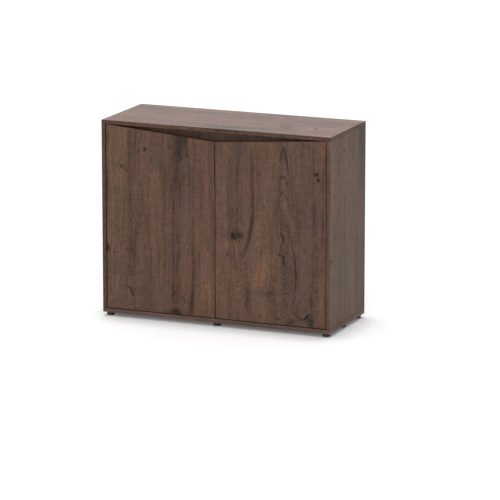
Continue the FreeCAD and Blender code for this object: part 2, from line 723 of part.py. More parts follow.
def hinge_arm(side, name, level):
    """The cranked arm: a barrel on the pin, then out of the cup and back along the mounting plate."""
    body = doc.addObject("PartDesign::Body", f"{name}_arm_body")
    doc.recompute()
    profile = sketch_on(body, "XY_Plane")
    reach = "pivot_x - arm_reach"
    crank = "pivot_y + arm_crank"
    tail = "pivot_y + arm_tail"
    distances = (
        ("pivot_x", "pivot_y - arm_metal/2"),
        (f"{reach} - arm_metal", "pivot_y - arm_metal/2"),
        (f"{reach} - arm_metal", f"{crank} + arm_metal"),
        ("plate_face - arm_metal", f"{crank} + arm_metal"),
        ("plate_face - arm_metal", tail),
        ("plate_face", tail),
        ("plate_face", crank),
        (reach, crank),
        (reach, "pivot_y + arm_metal/2"),
        ("pivot_x", "pivot_y + arm_metal/2"),
    )
    rough = ((470, -187), (453, -187), (453, -165), (479, -165), (479, -108),
             (481, -108), (481, -168), (455, -168), (455, -185), (470, -185))
    turn = 1 if side == "right" else -1
    outline(profile, [(signed(side, x), y) for x, y in distances], [(turn * x, y) for x, y in rough])
    pad(body, profile, "arm_width")
    barrel = sketch_on(body, "XY_Plane")
    circles(barrel, "barrel_radius", [(signed(side, "pivot_x"), "pivot_y")])
    pad(body, barrel, "arm_width")
    bind(body, "Placement.Base.z", f"{level} - arm_width/2")
    foot = (signed(side, "pivot_x"), "pivot_y", f"{level} - arm_width/2")
    eye = rod(f"{name}_arm_eye", "hinge_pin_radius + slip", "arm_width", foot, "z")
    clamp_at = (signed(side, "plate_face - arm_metal"), "clamp_y", level)
    clamp = screw_hole(f"{name}_clamp_hole", clamp_at, OUTWARD[side], "arm_metal")
    node(cut(f"{name}_arm_drilled", body, [eye, clamp]), f"{name}_arm")


def hinge_plate(side, name, level):
    """The mounting plate on the side panel: a spine under the arm, with a wing above and below."""
    spine = block(
        f"{name}_spine", sided(side, "plate_face", "half_inner"), ("plate_y", "plate_y + plate_length"),
        (f"{level} - arm_width/2", f"{level} + arm_width/2"),
    )
    wings = block(
        f"{name}_wings", sided(side, "half_inner - wing_thickness", "half_inner"),
        ("plate_y", "plate_y + wing_length"),
        (f"{level} - wing_half_height", f"{level} + wing_half_height"),
    )
    holes = [
        screw_hole(
            f"{name}_wing_hole_{number}",
            (signed(side, "half_inner - wing_thickness"), "wing_y", f"{level} + {way}*plate_screw_offset"),
            OUTWARD[side], "wing_thickness",
        )
        for number, way in enumerate(OFFSETS)
    ]
    holes.append(screw_hole(
        f"{name}_clamp_seat", (signed(side, "plate_face"), "clamp_y", level), OUTWARD[side],
        "plate_height - wing_thickness",
    ))
    node(cut(f"{name}_plate_drilled", fused(f"{name}_plate_blank", [spine, wings]), holes), f"{name}_plate")


def hinges():
    """Two hinges to a door, with the screws that hold their plates, arms and cups."""
    plate_screws = []
    clamp_screws = []
    for side in SIDES:
        cup_screws = []
        for height, level in HINGES.items():
            name = f"{side}_{height}_hinge"
            hinge_cup(side, name, level)
            hinge_arm(side, name, level)
            hinge_plate(side, name, level)
            for number, way in enumerate(OFFSETS):
                wing_face = signed(side, "half_inner - wing_thickness")
                plate_seat = (wing_face, "wing_y", f"{level} + {way}*plate_screw_offset")
                plate_screws.append(small_screw(
                    f"{name}_plate_screw_{number}", plate_seat, OUTWARD[side], "wing_thickness",
                ))
                cup_level = f"{level} + {way}*cup_screw_spacing/2"
                cup_seat = (signed(side, "cup_x"), "door_back + cup_flange", cup_level)
                cup_screws.append(small_screw(f"{name}_cup_screw_{number}", cup_seat, "-y", "cup_flange"))
            seat = (signed(side, "plate_face - arm_metal"), "clamp_y", level)
            head = rod(f"{name}_clamp_head", "screw_head_radius", "screw_head", seat, INWARD[side])
            length = "arm_metal + plate_height - wing_thickness - slip"
            shank = rod(f"{name}_clamp_shank", "screw_radius", length, seat, OUTWARD[side])
            clamp_screws.append(fused(f"{name}_clamp_screw", [head, shank]))
        node(group(f"{side}_cup_screw_set", cup_screws), f"{side}_cup_screws")
    node(group("plate_screw_set", plate_screws), "hinge_plate_screws")
    node(group("clamp_screw_set", clamp_screws), "hinge_clamp_screws")


def check_and_write():
    """Stop if any object failed, then write each sub-part to its own file."""
    doc.recompute()
    for thing in doc.Objects:
        if {"Invalid", "Error"} & set(thing.State):
            raise RuntimeError(f"{thing.Label} failed: {thing.State}")
    for thing in nodes:
        if thing.Shape.isNull() or not thing.Shape.isValid() or not thing.Shape.Solids:
            raise RuntimeError(f"{thing.Label} has no valid solid")
    for thing in nodes:
        thing.Shape.exportStep(f"parts/{thing.Label}.step")


upright_joints()
rail_joints()
back_joints()
horizontal_boards()
side_panels()
centre_divider()
front_rail()
back_panels()
shelves()
feet()
node(group("cam_set", cams), "cam_locks")
node(group("bolt_set", bolts), "cam_bolts")
node(group("dowel_set", dowels), "wooden_dowels")
catches()
hinges()
doors()
check_and_write()
print(f"{len(nodes)} sub-parts written")
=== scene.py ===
import math

import bmesh
import bpy
from mathutils import Matrix, Vector


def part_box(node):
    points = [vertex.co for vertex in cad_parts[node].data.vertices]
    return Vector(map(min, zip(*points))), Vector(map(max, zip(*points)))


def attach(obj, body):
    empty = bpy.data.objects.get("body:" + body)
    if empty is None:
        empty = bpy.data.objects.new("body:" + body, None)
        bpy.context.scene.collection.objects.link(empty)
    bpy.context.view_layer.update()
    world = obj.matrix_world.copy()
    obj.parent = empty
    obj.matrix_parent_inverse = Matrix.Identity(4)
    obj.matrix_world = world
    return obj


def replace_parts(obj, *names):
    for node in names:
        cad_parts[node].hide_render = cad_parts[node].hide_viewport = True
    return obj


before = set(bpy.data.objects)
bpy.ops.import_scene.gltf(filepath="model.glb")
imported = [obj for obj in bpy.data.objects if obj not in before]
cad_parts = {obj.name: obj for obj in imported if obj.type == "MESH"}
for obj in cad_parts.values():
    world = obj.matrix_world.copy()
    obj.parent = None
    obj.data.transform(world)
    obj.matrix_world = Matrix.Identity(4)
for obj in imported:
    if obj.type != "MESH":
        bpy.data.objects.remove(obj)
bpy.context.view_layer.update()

MM = 0.001


def linear(hex_colour):
    """An sRGB hex colour as linear red, green, blue and full alpha."""
    values = []
    for i in (1, 3, 5):
        c = int(hex_colour[i:i + 2], 16) / 255
        values.append(c / 12.92 if c <= 0.04045 else ((c + 0.055) / 1.055) ** 2.4)
    return (*values, 1.0)


def add(tree, kind, inputs=None, **settings):
    """Add a node, give it its settings, and set its inputs or link them, a list to one socket."""
    made = tree.nodes.new(kind)
    for key, value in settings.items():
        setattr(made, key, value)
    for key, value in (inputs or {}).items():
        sockets = value if isinstance(value, list) else [value]
        if isinstance(sockets[0], bpy.types.NodeSocket):
            for socket in sockets:
                tree.links.new(socket, made.inputs[key])
        else:
            made.inputs[key].default_value = value
    return made


def new_material(name):
    """A material without nodes, and its tree."""
    made = bpy.data.materials.new(name)
    made.use_nodes = True
    made.node_tree.nodes.clear()
    return made, made.node_tree


def finish_with(material, *names):
    """Give CAD nodes a material all over."""
    for name in names:
        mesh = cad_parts[name].data
        mesh.materials.clear()
        mesh.materials.append(material)


# Oak decor; the sizes of the print are millimetres

# Fibres: width, length and strength. The finest are drawn coarser than the real print, because
# they would not show
FIBRES = (
    (64, 380, 0.52), (30, 700, 0.56), (11, 280, 0.50), (5, 90, 0.52), (3, 22, 0.96), (1.2, 18, 0.7),
    (50, 11, 0.40),
)
# Mottle that shows on the top, which is seen at a low angle
TOP_MOTTLE = ((60, 7, 0.20), (40, 30, 0.45), (26, 140, 0.50))
# Slow wander of the fibres: width and length, and how far aside it goes
WANDER_SIZE = (120, 340)
WANDER_SHIFT = 30
# Pores: width and length, the noise at which they begin and are full, and how dark they are
PORE_SIZE = (0.7, 9)
PORE_LIMITS = (0.60, 0.70)
PORE_TONE = 0.24
# Drawn marks: how strongly they print, how their edges fray, how far their soft rims reach in half
# widths and their ends in lengths, and the darkest tone they leave
MARK_STRENGTH = 1.12
FRAY_SIZE = (7, 15)
FRAY_SHIFT = (8, 18, 0)
SOFT_RIM = 1.5
SOFT_END = 0.65
DARKEST = 0.12
# Arches: how they waver, in mm and in steps, the shade between their lines, and the part that is rim
WAVER_SIZE = (50, 50)
WAVER_STEPS = 3.2
BETWEEN_LINES = -0.4
ARCH_RIM = 0.5
# Clouds of warmer and cooler brown: width and length, and how much red and blue change
CLOUD_SIZE = (45, 170)
CLOUD_TINT = 0.22
# Tone in the middle of a line of painted joint shade
JOINT_SHADE_TONE = 0.1
# Melamine pressed on a faintly textured plate: relief, gloss, and the slant from which a face is upper
RELIEF = 0.3
RELIEF_STRENGTH = 0.15
ROUGHNESS = 0.45
MATT = 0.15
UPWARD = 0.5
# Noise varies about this value
MEAN_NOISE = 0.5
# How deep a mark prints below its face, and a reach that has no end
PRINT_DEPTH = 14
FAR = 1e5


def drift(tree, place, offset, size, detail):
    """Noise in patches of a width across the grain and a length along it."""
    width, length = size
    at = add(tree, "ShaderNodeMapping", {
        0: place, "Location": offset, "Scale": (1 / width, 1 / length, 1 / width)}).outputs[0]
    return add(tree, "ShaderNodeTexNoise", {"Vector": at, "Scale": 1, "Detail": detail}).outputs


def oval(tree, place, centre, half_sizes, turn=0.0, fade="SPHERICAL"):
    """A soft patch that falls from 1 at its centre to 0 at its rim."""
    at = add(tree, "ShaderNodeMapping", {
        0: place, "Location": centre, "Rotation": (0, 0, turn), "Scale": half_sizes,
    }, vector_type="TEXTURE").outputs[0]
    return add(tree, "ShaderNodeTexGradient", {0: at}, gradient_type=fade).outputs[1]


def drawn_marks(tree, spot, seed, face, strokes, arches):
    """How much the drawn marks darken the face of a board."""
    # Dark knots, cracks and smoky patches, frayed at their edges; a negative darkness lightens
    noise = drift(tree, spot, (seed, seed, 0), FRAY_SIZE, 2)[1]
    even = add(tree, "ShaderNodeVectorMath", {
        0: noise, 1: (MEAN_NOISE, MEAN_NOISE, MEAN_NOISE)}, operation="SUBTRACT").outputs[0]
    frayed = add(tree, "ShaderNodeVectorMath", {
        0: even, 1: FRAY_SHIFT, 2: spot}, operation="MULTIPLY_ADD").outputs[0]
    shade = 0.0
    for half_width, dark, *points in strokes:
        rim = SOFT_RIM * half_width
        for (u0, v0), (u1, v1) in zip(points, points[1:]):
            middle = ((u0 + u1) / 2, (v0 + v1) / 2, face)
            half_length = rim + SOFT_END * math.hypot(u1 - u0, v1 - v0)
            turn = math.atan2(u0 - u1, v1 - v0)
            blot = oval(tree, frayed, middle, (rim, half_length, PRINT_DEPTH), turn)
            shade = add(tree, "ShaderNodeMath", {
                0: blot, 1: dark * MARK_STRENGTH, 2: shade}, operation="MULTIPLY_ADD").outputs[0]
    # Nested arches: lines at equal steps of along + way * hypot(slope * aside, crown), wavering, uneven
    # in strength, which the same noise gives them, and faded out at the patch's rim
    waver = drift(tree, spot, (0, seed, seed), WAVER_SIZE, 2)[0]
    for u, v, half_width, half_length, slope, crown, way, step, dark in arches:
        at = add(tree, "ShaderNodeMapping", {
            0: spot, "Location": (u, v, 0), "Scale": (1 / slope, 1, FAR)}, vector_type="TEXTURE").outputs[0]
        reach = add(tree, "ShaderNodeVectorMath", {
            0: at, 1: (1, 0, 0), 2: (0, crown, 0)}, operation="MULTIPLY_ADD").outputs[0]
        reach = add(tree, "ShaderNodeVectorMath", {0: reach}, operation="LENGTH").outputs["Value"]
        height = add(tree, "ShaderNodeSeparateXYZ", {0: at}).outputs[1]
        height = add(tree, "ShaderNodeMath", {
            0: reach, 1: way, 2: height}, operation="MULTIPLY_ADD").outputs[0]
        height = add(tree, "ShaderNodeMath", {
            0: waver, 1: step * WAVER_STEPS, 2: height}, operation="MULTIPLY_ADD").outputs[0]
        line = add(tree, "ShaderNodeMath", {0: height, 1: step / 2}, operation="PINGPONG").outputs[0]
        line = add(tree, "ShaderNodeMapRange", {
            0: line, 1: 0, 2: step / 2, 3: BETWEEN_LINES, 4: 1}, interpolation_type="SMOOTHSTEP").outputs[0]
        line = add(tree, "ShaderNodeMath", {0: line, 1: waver}, operation="MULTIPLY").outputs[0]
        patch = oval(tree, frayed, (u, v, face), (half_width, half_length, PRINT_DEPTH))
        patch = add(tree, "ShaderNodeMapRange", {
            0: patch, 2: ARCH_RIM, 4: dark / MEAN_NOISE}, interpolation_type="SMOOTHSTEP").outputs[0]
        shade = add(tree, "ShaderNodeMath", {
            0: line, 1: patch, 2: shade}, operation="MULTIPLY_ADD").outputs[0]
    return shade


def oak_decor(name, axes, seed, span, planks, face=0, bends=(), strokes=(), arches=(), blushes=(),
              mottle=(), seams=(), edges=(0.88, 0.70), sheen=MATT):
    """Melamine-faced board with a printed dark wild-oak decor, semi-matt.

    It shows planks of slightly different browns with warmer and cooler patches, long fibres, arched
    figure where a plank was cut flat, and dark knots and cracks. axes names the object axes across the
    grain (u), along it (v) and through the board. Marks only print on the face at the depth face.
    """
    made, tree = new_material(name)
    low, high = span
    coords = add(tree, "ShaderNodeTexCoord").outputs
    split = add(tree, "ShaderNodeSeparateXYZ", {0: coords["Object"]}).outputs
    turned = add(tree, "ShaderNodeCombineXYZ", {i: split[axis] for i, axis in enumerate(axes)}).outputs[0]
    spot = add(tree, "ShaderNodeVectorMath", {0: turned, "Scale": 1 / MM}, operation="SCALE").outputs[0]
    across, along, through = add(tree, "ShaderNodeSeparateXYZ", {0: spot}).outputs
    # No fibre runs dead straight
    wander = drift(tree, spot, (seed, 0, 0), WANDER_SIZE, 2)[0]
    grain = add(tree, "ShaderNodeMath", {
        0: wander, 1: WANDER_SHIFT, 2: across}, operation="MULTIPLY_ADD").outputs[0]
    # The fibres swerve round the knots
    for u, v, half_width, half_length, shift in bends:
        swell = oval(tree, spot, (u, v, 0), (half_width, half_length, FAR), fade="QUADRATIC_SPHERE")
        grain = add(tree, "ShaderNodeMath", {
            0: swell, 1: shift, 2: grain}, operation="MULTIPLY_ADD").outputs[0]
    grain_spot = add(tree, "ShaderNodeCombineXYZ", {0: grain, 1: along, 2: through}).outputs[0]
    # Fibres, from broad bands to lines a few millimetres wide, and a faint mottle across them
    tones = 1.0
    for width, length, strength in FIBRES + mottle:
        fibre = drift(tree, grain_spot, (seed * 3, seed, 0), (width, length), 1)[0]
        even = add(tree, "ShaderNodeMath", {0: fibre, 1: MEAN_NOISE}, operation="SUBTRACT").outputs[0]
        tones = add(tree, "ShaderNodeMath", {
            0: even, 1: strength, 2: tones}, operation="MULTIPLY_ADD").outputs[0]
    # Open pores: short dark dashes, wider than real ones so that they show
    pores = drift(tree, grain_spot, (seed, seed * 2, 0), PORE_SIZE, 0)[0]
    begin, full = PORE_LIMITS
    pores = add(tree, "ShaderNodeMapRange", {0: pores, 1: begin, 2: full, 4: PORE_TONE}).outputs[0]
    tones = add(tree, "ShaderNodeMath", {0: tones, 1: pores}, operation="SUBTRACT").outputs[0]
    if strokes or arches:
        shade = drawn_marks(tree, spot, seed, face, strokes, arches)
        kept = add(tree, "ShaderNodeMath", {0: 1, 1: shade}, operation="SUBTRACT").outputs[0]
        kept = add(tree, "ShaderNodeMath", {0: kept, 1: DARKEST}, operation="MAXIMUM").outputs[0]
        tones = add(tree, "ShaderNodeMath", {0: tones, 1: kept}, operation="MULTIPLY").outputs[0]
    # Painted shade in the joints: dark lines where the board butts against its neighbours
    for seam, width in seams:
        away = add(tree, "ShaderNodeMath", {0: along, 1: seam}, operation="SUBTRACT").outputs[0]
        away = add(tree, "ShaderNodeMath", {0: away}, operation="ABSOLUTE").outputs[0]
        kept = add(tree, "ShaderNodeMapRange", {0: away, 2: width, 3: JOINT_SHADE_TONE, 4: 1}).outputs[0]
        tones = add(tree, "ShaderNodeMath", {0: tones, 1: kept}, operation="MULTIPLY").outputs[0]
    # Each plank has its own brown, faint clouds of other tints drift along it, and a few patches are
    # warmer or, with a negative warmth, cooler
    part = add(tree, "ShaderNodeMapRange", {0: across, 1: low, 2: high}).outputs[0]
    brown = add(tree, "ShaderNodeValToRGB", {0: part})
    stops = brown.color_ramp.elements
    brown.color_ramp.interpolation = "CONSTANT"
    for i, (start, colour) in enumerate(planks):
        stop = stops[i] if i < len(stops) else stops.new(1)
        stop.position = (start - low) / (high - low)
        stop.color = linear(colour)
    cloud = drift(tree, grain_spot, (0, seed, seed), CLOUD_SIZE, 3)[0]
    for u, v, half_width, half_length, warmth in blushes:
        blush = oval(tree, spot, (u, v, face), (half_width, half_length, PRINT_DEPTH))
        cloud = add(tree, "ShaderNodeMath", {
            0: blush, 1: warmth, 2: cloud}, operation="MULTIPLY_ADD").outputs[0]
    tint = add(tree, "ShaderNodeVectorMath", {
        0: cloud, 1: (CLOUD_TINT, 0, -CLOUD_TINT), 2: (1 - CLOUD_TINT / 2, 1, 1 + CLOUD_TINT / 2),
    }, operation="MULTIPLY_ADD").outputs[0]
    colour = add(tree, "ShaderNodeVectorMath", {
        0: brown.outputs[0], 1: tint}, operation="MULTIPLY").outputs[0]
    # The edge bands have their own tone, those along the grain and those across it; the bottom board's
    # lighter bands are painted light from the floor
    facing = add(tree, "ShaderNodeSeparateXYZ", {0: coords["Normal"]}).outputs
    turned = add(tree, "ShaderNodeCombineXYZ", {i: facing[axis] for i, axis in enumerate(axes)}).outputs[0]
    turned = add(tree, "ShaderNodeVectorMath", {0: turned}, operation="ABSOLUTE").outputs[0]
    band = add(tree, "ShaderNodeVectorMath", {
        0: turned, 1: (*edges, 1)}, operation="DOT_PRODUCT").outputs["Value"]
    tones = add(tree, "ShaderNodeMath", {0: tones, 1: band}, operation="MULTIPLY").outputs[0]
    colour = add(tree, "ShaderNodeVectorMath", {0: colour, "Scale": tones}, operation="SCALE").outputs[0]
    relief = add(tree, "ShaderNodeBump", {
        "Strength": RELIEF_STRENGTH, "Distance": RELIEF * MM, "Height": tones}).outputs[0]
    # The upper face of a flat board may shine more than its edges
    gloss = MATT
    if sheen != MATT:
        gloss = add(tree, "ShaderNodeMapRange", {0: facing["Z"], 1: UPWARD, 3: MATT, 4: sheen}).outputs[0]
    shader = add(tree, "ShaderNodeBsdfPrincipled", {
        "Base Color": colour, "Roughness": ROUGHNESS, "Specular IOR Level": gloss, "Normal": relief})
    add(tree, "ShaderNodeOutputMaterial", {0: shader.outputs[0]})
    return made


# Boards: u across the grain, v along it. Their rows are
# planks: start and brown; bends: u, v, half width, half length, shift aside
# strokes: half width, darkness, points of the stroke; blushes: u, v, half width, half length, warmth
# arches: u, v, half width, half length, slope, crown, way (1 points up, -1 down), step, darkness
# seams: v and width of a line of painted joint shade; edges: tone of the bands along the grain and of those
# across it
LEFT_DOOR = dict(
    axes="XZY", seed=3.0, span=(-486, 0), face=-194,
    planks=((-486, "#60493B"), (-385, "#5A4337"), (-250, "#5C4437"), (-117, "#5E4538")),
    bends=(
        (-312, 716, 60, 110, 12), (-150, 640, 60, 120, 18), (-375, 120, 50, 110, 16),
        (-160, 70, 50, 80, 16),
    ),
    strokes=(
        # Small knot at the upper left
        (7.5, 1.1, (-312, 715), (-309, 717)), (5, 0.36, (-342, 706), (-343, 696)),
        # Smoky streak and its knots, right of the middle
        (30, 0.58, (-150, 820), (-155, 745)), (22, 0.34, (-158, 745), (-168, 690)),
        (15, 0.36, (-166, 710), (-170, 620)), (13, 0.32, (-174, 635), (-180, 560)),
        (9, 0.26, (-188, 580), (-191, 510)), (22, 0.16, (-225, 640), (-220, 565)),
        (7, 0.40, (-130, 806), (-125, 740), (-124, 705)), (4.5, 0.7, (-125, 706), (-123, 698)),
        (4, 0.5, (-150, 694), (-148, 686)), (7, 0.30, (-160, 595), (-152, 545)),
        (16, 0.28, (-154, 690), (-152, 440)), (12, 0.16, (-62, 700), (-60, 560)),
        (9, 0.2, (-140, 640), (-138, 590)), (5, 0.28, (-113, 690), (-112, 560)),
        # Crack near the left edge and the dark border of the first plank
        (5.5, 0.7, (-419, 638), (-416, 636)), (3.4, 0.4, (-411, 635), (-396, 620), (-386, 616)),
        (10, 0.18, (-460, 646), (-405, 640)), (7, 0.24, (-386, 806), (-383, 700), (-382, 560)),
        (9, 0.2, (-389, 530), (-386, 400)), (10, 0.22, (-368, 225), (-370, 180)),
        (4.5, 0.36, (-382, 560), (-375, 470), (-350, 395)),
        (15, 0.24, (-372, 352), (-368, 300), (-354, 240)),
        (4, 0.36, (-381, 300), (-368, 268), (-360, 238)), (4, 0.40, (-374, 205), (-382, 168)),
        (3, 0.32, (-378, 184), (-345, 190), (-330, 196)),
        (4.5, 0.56, (-398, 132), (-386, 130), (-376, 116), (-366, 96)),
        (12, 0.25, (-372, 130), (-360, 105)),
        # Long cracks in the lower half
        (6, 0.38, (-182, 520), (-186, 420), (-187, 300)), (6, 0.52, (-187, 310), (-187, 200), (-189, 90)),
        (6, 0.46, (-158, 310), (-168, 250), (-172, 205)), (5, 0.3, (-166, 400), (-163, 320)),
        (6, 0.22, (-222, 330), (-222, 120)), (5, 0.26, (-250, 330), (-252, 180)),
        (11, 0.22, (-99, 430), (-98, 335)), (9, 0.46, (-98, 340), (-96, 265), (-97, 200)),
        (10, 0.48, (-97, 210), (-99, 115)), (11, 0.74, (-100, 130), (-109, 26)),
        # Slanted fine lines, like a feather
        (3, 0.34, (-379, 420), (-366, 396), (-348, 352)),
        (3, 0.30, (-386, 396), (-372, 374), (-358, 332)), (3, -0.26, (-376, 406), (-356, 366)),
        (3, -0.22, (-384, 382), (-366, 344)), (3, 0.26, (-318, 338), (-296, 372)),
        (3, 0.26, (-308, 312), (-284, 352)), (3, -0.26, (-316, 398), (-298, 432)),
        (3, 0.24, (-326, 388), (-304, 424)), (3, -0.24, (-308, 446), (-294, 478)),
        (3, 0.24, (-334, 424), (-312, 464)),
        # Whorl at the lower edge, and small marks
        (4.5, 0.46, (-188, 112), (-174, 136), (-156, 160)),
        (4.5, 0.40, (-164, 100), (-146, 112), (-130, 86)), (15, 0.50, (-206, 34), (-178, 46), (-150, 38)),
        (4, 0.4, (-71, 296), (-62, 290)), (5, 0.22, (-74, 300), (-74, 262)),
        # Dark left edge
        (10, 0.95, (-486, 300), (-481, 283)), (8, 0.40, (-482, 806), (-481, 690)),
        (9, 0.50, (-484, 660), (-484, 420)), (9, 0.30, (-484, 270), (-484, 100)),
        # Fine dark lines
        (5, 0.24, (-356, 806), (-354, 680), (-356, 570)), (4, 0.28, (-340, 740), (-338, 620)),
        (5, 0.24, (-326, 560), (-322, 470)), (4, 0.26, (-300, 640), (-298, 520)),
        (4, 0.24, (-268, 560), (-268, 430)),
        # Pale streaks
        (8, -0.18, (-240, 500), (-238, 280), (-240, 60)), (5, -0.3, (-283, 352), (-285, 318)),
        (24, -0.26, (-258, 580), (-255, 200)), (12, -0.16, (-352, 640), (-346, 400)),
        (14, -0.20, (-322, 490), (-312, 220)), (20, -0.30, (-442, 170), (-440, 85)),
        (20, -0.14, (-442, 300), (-440, 260)), (20, -0.24, (-424, 615), (-420, 545)),
        (18, -0.2, (-412, 790), (-414, 680)), (5, -0.22, (-281, 640), (-279, 560)),
        (5, -0.24, (-330, 700), (-328, 560)), (5, -0.24, (-286, 640), (-290, 420)),
        (22, -0.38, (-38, 310), (-38, 40)),
    ),
    arches=(
        (-141, 612, 34, 44, 0.7, 12, -1, 15, 0.12), (-320, 380, 64, 120, 2.4, 8, -1, 24, 0.20),
        (-40, 720, 55, 80, 1.6, 10, 1, 17, 0.15), (-368, 300, 32, 130, 2.6, 8, -1, 20, 0.20),
    ),
    blushes=((-256, 390, 45, 260, 0.28), (-120, 560, 70, 220, -0.35)),
)
RIGHT_DOOR = dict(
    axes="XZY", seed=11.0, span=(0, 486), face=-194,
    planks=((0, "#5E4639"), (157, "#5F473A"), (283, "#5B453A"), (432, "#60473B")),
    bends=(
        (80, 385, 75, 150, 26), (446, 658, 40, 80, 12), (297, 330, 45, 110, 10), (410, 60, 60, 70, 18),
    ),
    strokes=(
        # Long crack beside the big knot
        (6, 0.30, (157, 770), (162, 690)), (9, 0.50, (163, 700), (165, 620), (167, 530)),
        (9, 0.46, (167, 545), (167, 465)), (9, 0.66, (166, 475), (160, 428), (149, 378), (136, 328)),
        (10, 0.18, (106, 750), (100, 560)), (18, 0.26, (66, 730), (62, 440)),
        (15, 0.22, (70, 525), (68, 440)), (4, 0.38, (110, 522), (100, 500), (86, 470)),
        # Big knot with its smoky ring
        (8, 1.0, (78, 393), (80, 379)), (6, 0.6, (88, 380), (93, 376)), (27, 0.42, (78, 389), (104, 394)),
        (13, 0.38, (98, 403), (113, 384)),
        (3.5, 0.36, (90, 436), (99, 452), (111, 461), (121, 452), (130, 434)),
        (4, 0.6, (52, 301), (62, 312)), (5, 0.36, (128, 330), (120, 290)), (4, 0.2, (85, 330), (93, 300)),
        # Knot pair at the upper right
        (8.8, 1.2, (443, 669), (447, 668)), (6.6, 1.2, (450, 647), (453, 647)),
        (4, 0.35, (466, 645), (474, 641)), (4, 0.36, (188, 650), (197, 651), (204, 643)),
        (14, 0.14, (186, 760), (188, 640)),
        # Tall flame of nested lines
        (4, 0.60, (300, 768), (292, 742), (285, 712)), (4.5, 0.66, (303, 768), (310, 732), (318, 700)),
        (4, 0.52, (318, 700), (327, 650)), (3.8, 0.46, (326, 650), (336, 590), (346, 510)),
        (3.8, 0.54, (284, 640), (298, 650), (310, 641), (319, 602)),
        (3.8, 0.48, (319, 602), (329, 556), (342, 496)),
        (3.8, 0.52, (290, 576), (303, 591), (315, 562), (327, 518), (344, 470)),
        (3.4, 0.36, (294, 546), (304, 554), (314, 530), (324, 500)),
        (3.5, 0.26, (332, 730), (338, 660), (352, 560)),
        (4.4, 0.46, (300, 480), (324, 430), (337, 380), (347, 330), (355, 262)),
        (5, 0.42, (355, 270), (357, 218), (350, 168)), (4.5, 0.56, (351, 160), (343, 112)),
        # Broken crack at the plank's border
        (6, 0.28, (283, 645), (281, 580), (281, 500)), (4, 0.40, (288, 506), (292, 482)),
        (4, 0.46, (289, 472), (294, 450)), (4, 0.52, (291, 444), (292, 424)),
        (4.6, 1.0, (291, 414), (295, 402)), (4.6, 1.05, (298, 400), (301, 388)),
        (3.6, 0.8, (299, 380), (297, 368)), (3.6, 0.55, (288, 362), (293, 354)),
        (3.6, 0.55, (293, 345), (288, 339)), (4.4, 0.85, (280, 328), (286, 322)),
        (4.4, 0.8, (296, 322), (304, 319)), (4.4, 0.85, (300, 310), (304, 301)),
        (4, 0.8, (299, 296), (302, 285)), (24, 0.24, (303, 350), (300, 210)),
        # Whorl at the lower right
        (4, 0.45, (346, 88), (368, 70), (392, 68), (414, 86)),
        (4.5, 0.36, (376, 60), (396, 66), (408, 80)), (9, 0.40, (404, 56), (424, 88)),
        (11, 0.6, (426, 66), (418, 36)), (11, 0.5, (318, 42), (344, 52)),
        # Small marks, fine lines and soft shadows
        (7, 0.5, (272, 60), (281, 55)), (4.5, 0.6, (194, 65), (209, 59)), (5, -0.3, (208, 68), (220, 70)),
        (4.5, 0.7, (442, 190), (452, 182)), (5, 0.6, (420, 174), (425, 110)),
        (5, 0.28, (475, 480), (476, 440)), (3.2, 0.36, (431, 800), (432, 600), (433, 400), (432, 210)),
        (6, 0.3, (484, 780), (484, 640)), (4, 0.34, (470, 720), (472, 560), (470, 380)),
        (3.5, 0.3, (440, 620), (441, 480)), (3.5, 0.36, (368, 732), (382, 745), (398, 748)),
        (8, 0.2, (247, 220), (244, 150)), (9, 0.16, (434, 560), (434, 400)),
        (14, 0.14, (360, 480), (372, 440)), (14, 0.34, (148, 190), (152, 85)),
        (12, 0.26, (146, 158), (290, 166)), (12, 0.26, (268, 570), (272, 420)),
        (23, 0.28, (350, 262), (356, 192)), (3.5, 0.36, (141, 285), (141, 180), (142, 60)),
        (15, 0.20, (354, 345), (350, 260)),
        # Pale streaks
        (34, -0.40, (220, 285), (202, 200)), (20, -0.22, (455, 240), (455, 60)),
        (8, -0.28, (92, 360), (98, 300)), (10, -0.16, (222, 620), (222, 480)),
        (20, -0.26, (58, 365), (36, 326)), (16, -0.40, (302, 690), (312, 590), (323, 450)),
        (19, -0.32, (98, 250), (100, 62)), (24, -0.28, (205, 125), (215, 68)),
        (9, -0.16, (15, 720), (16, 560)), (13, -0.26, (194, 445), (188, 295)),
        (6, -0.24, (318, 165), (322, 130)),
    ),
    arches=(
        (116, 262, 34, 72, 2.0, 10, -1, 23, 0.34), (106, 158, 38, 76, 1.7, 13, -1, 27, 0.32),
        (302, 150, 30, 125, 1.5, 9, -1, 19, 0.30), (322, 215, 40, 110, 1.7, 20, -1, 19, 0.16),
        (110, 480, 42, 80, 2.2, 8, 1, 26, 0.18), (305, 600, 52, 230, 3.8, 12, 1, 36, 0.12),
        (385, 95, 52, 55, 1.0, 14, -1, 18, 0.20), (45, 345, 50, 60, 1.3, 20, 1, 16, 0.12),
    ),
    blushes=((210, 235, 55, 95, 0.80), (320, 540, 32, 210, 0.30), (268, 490, 30, 150, -0.40)),
)
# The uprights get painted joint shade where they meet the bottom and the top
UPRIGHT = dict(axes="YZX", span=(-198, 198), seams=((31, 5.0), (809, 1.6)))
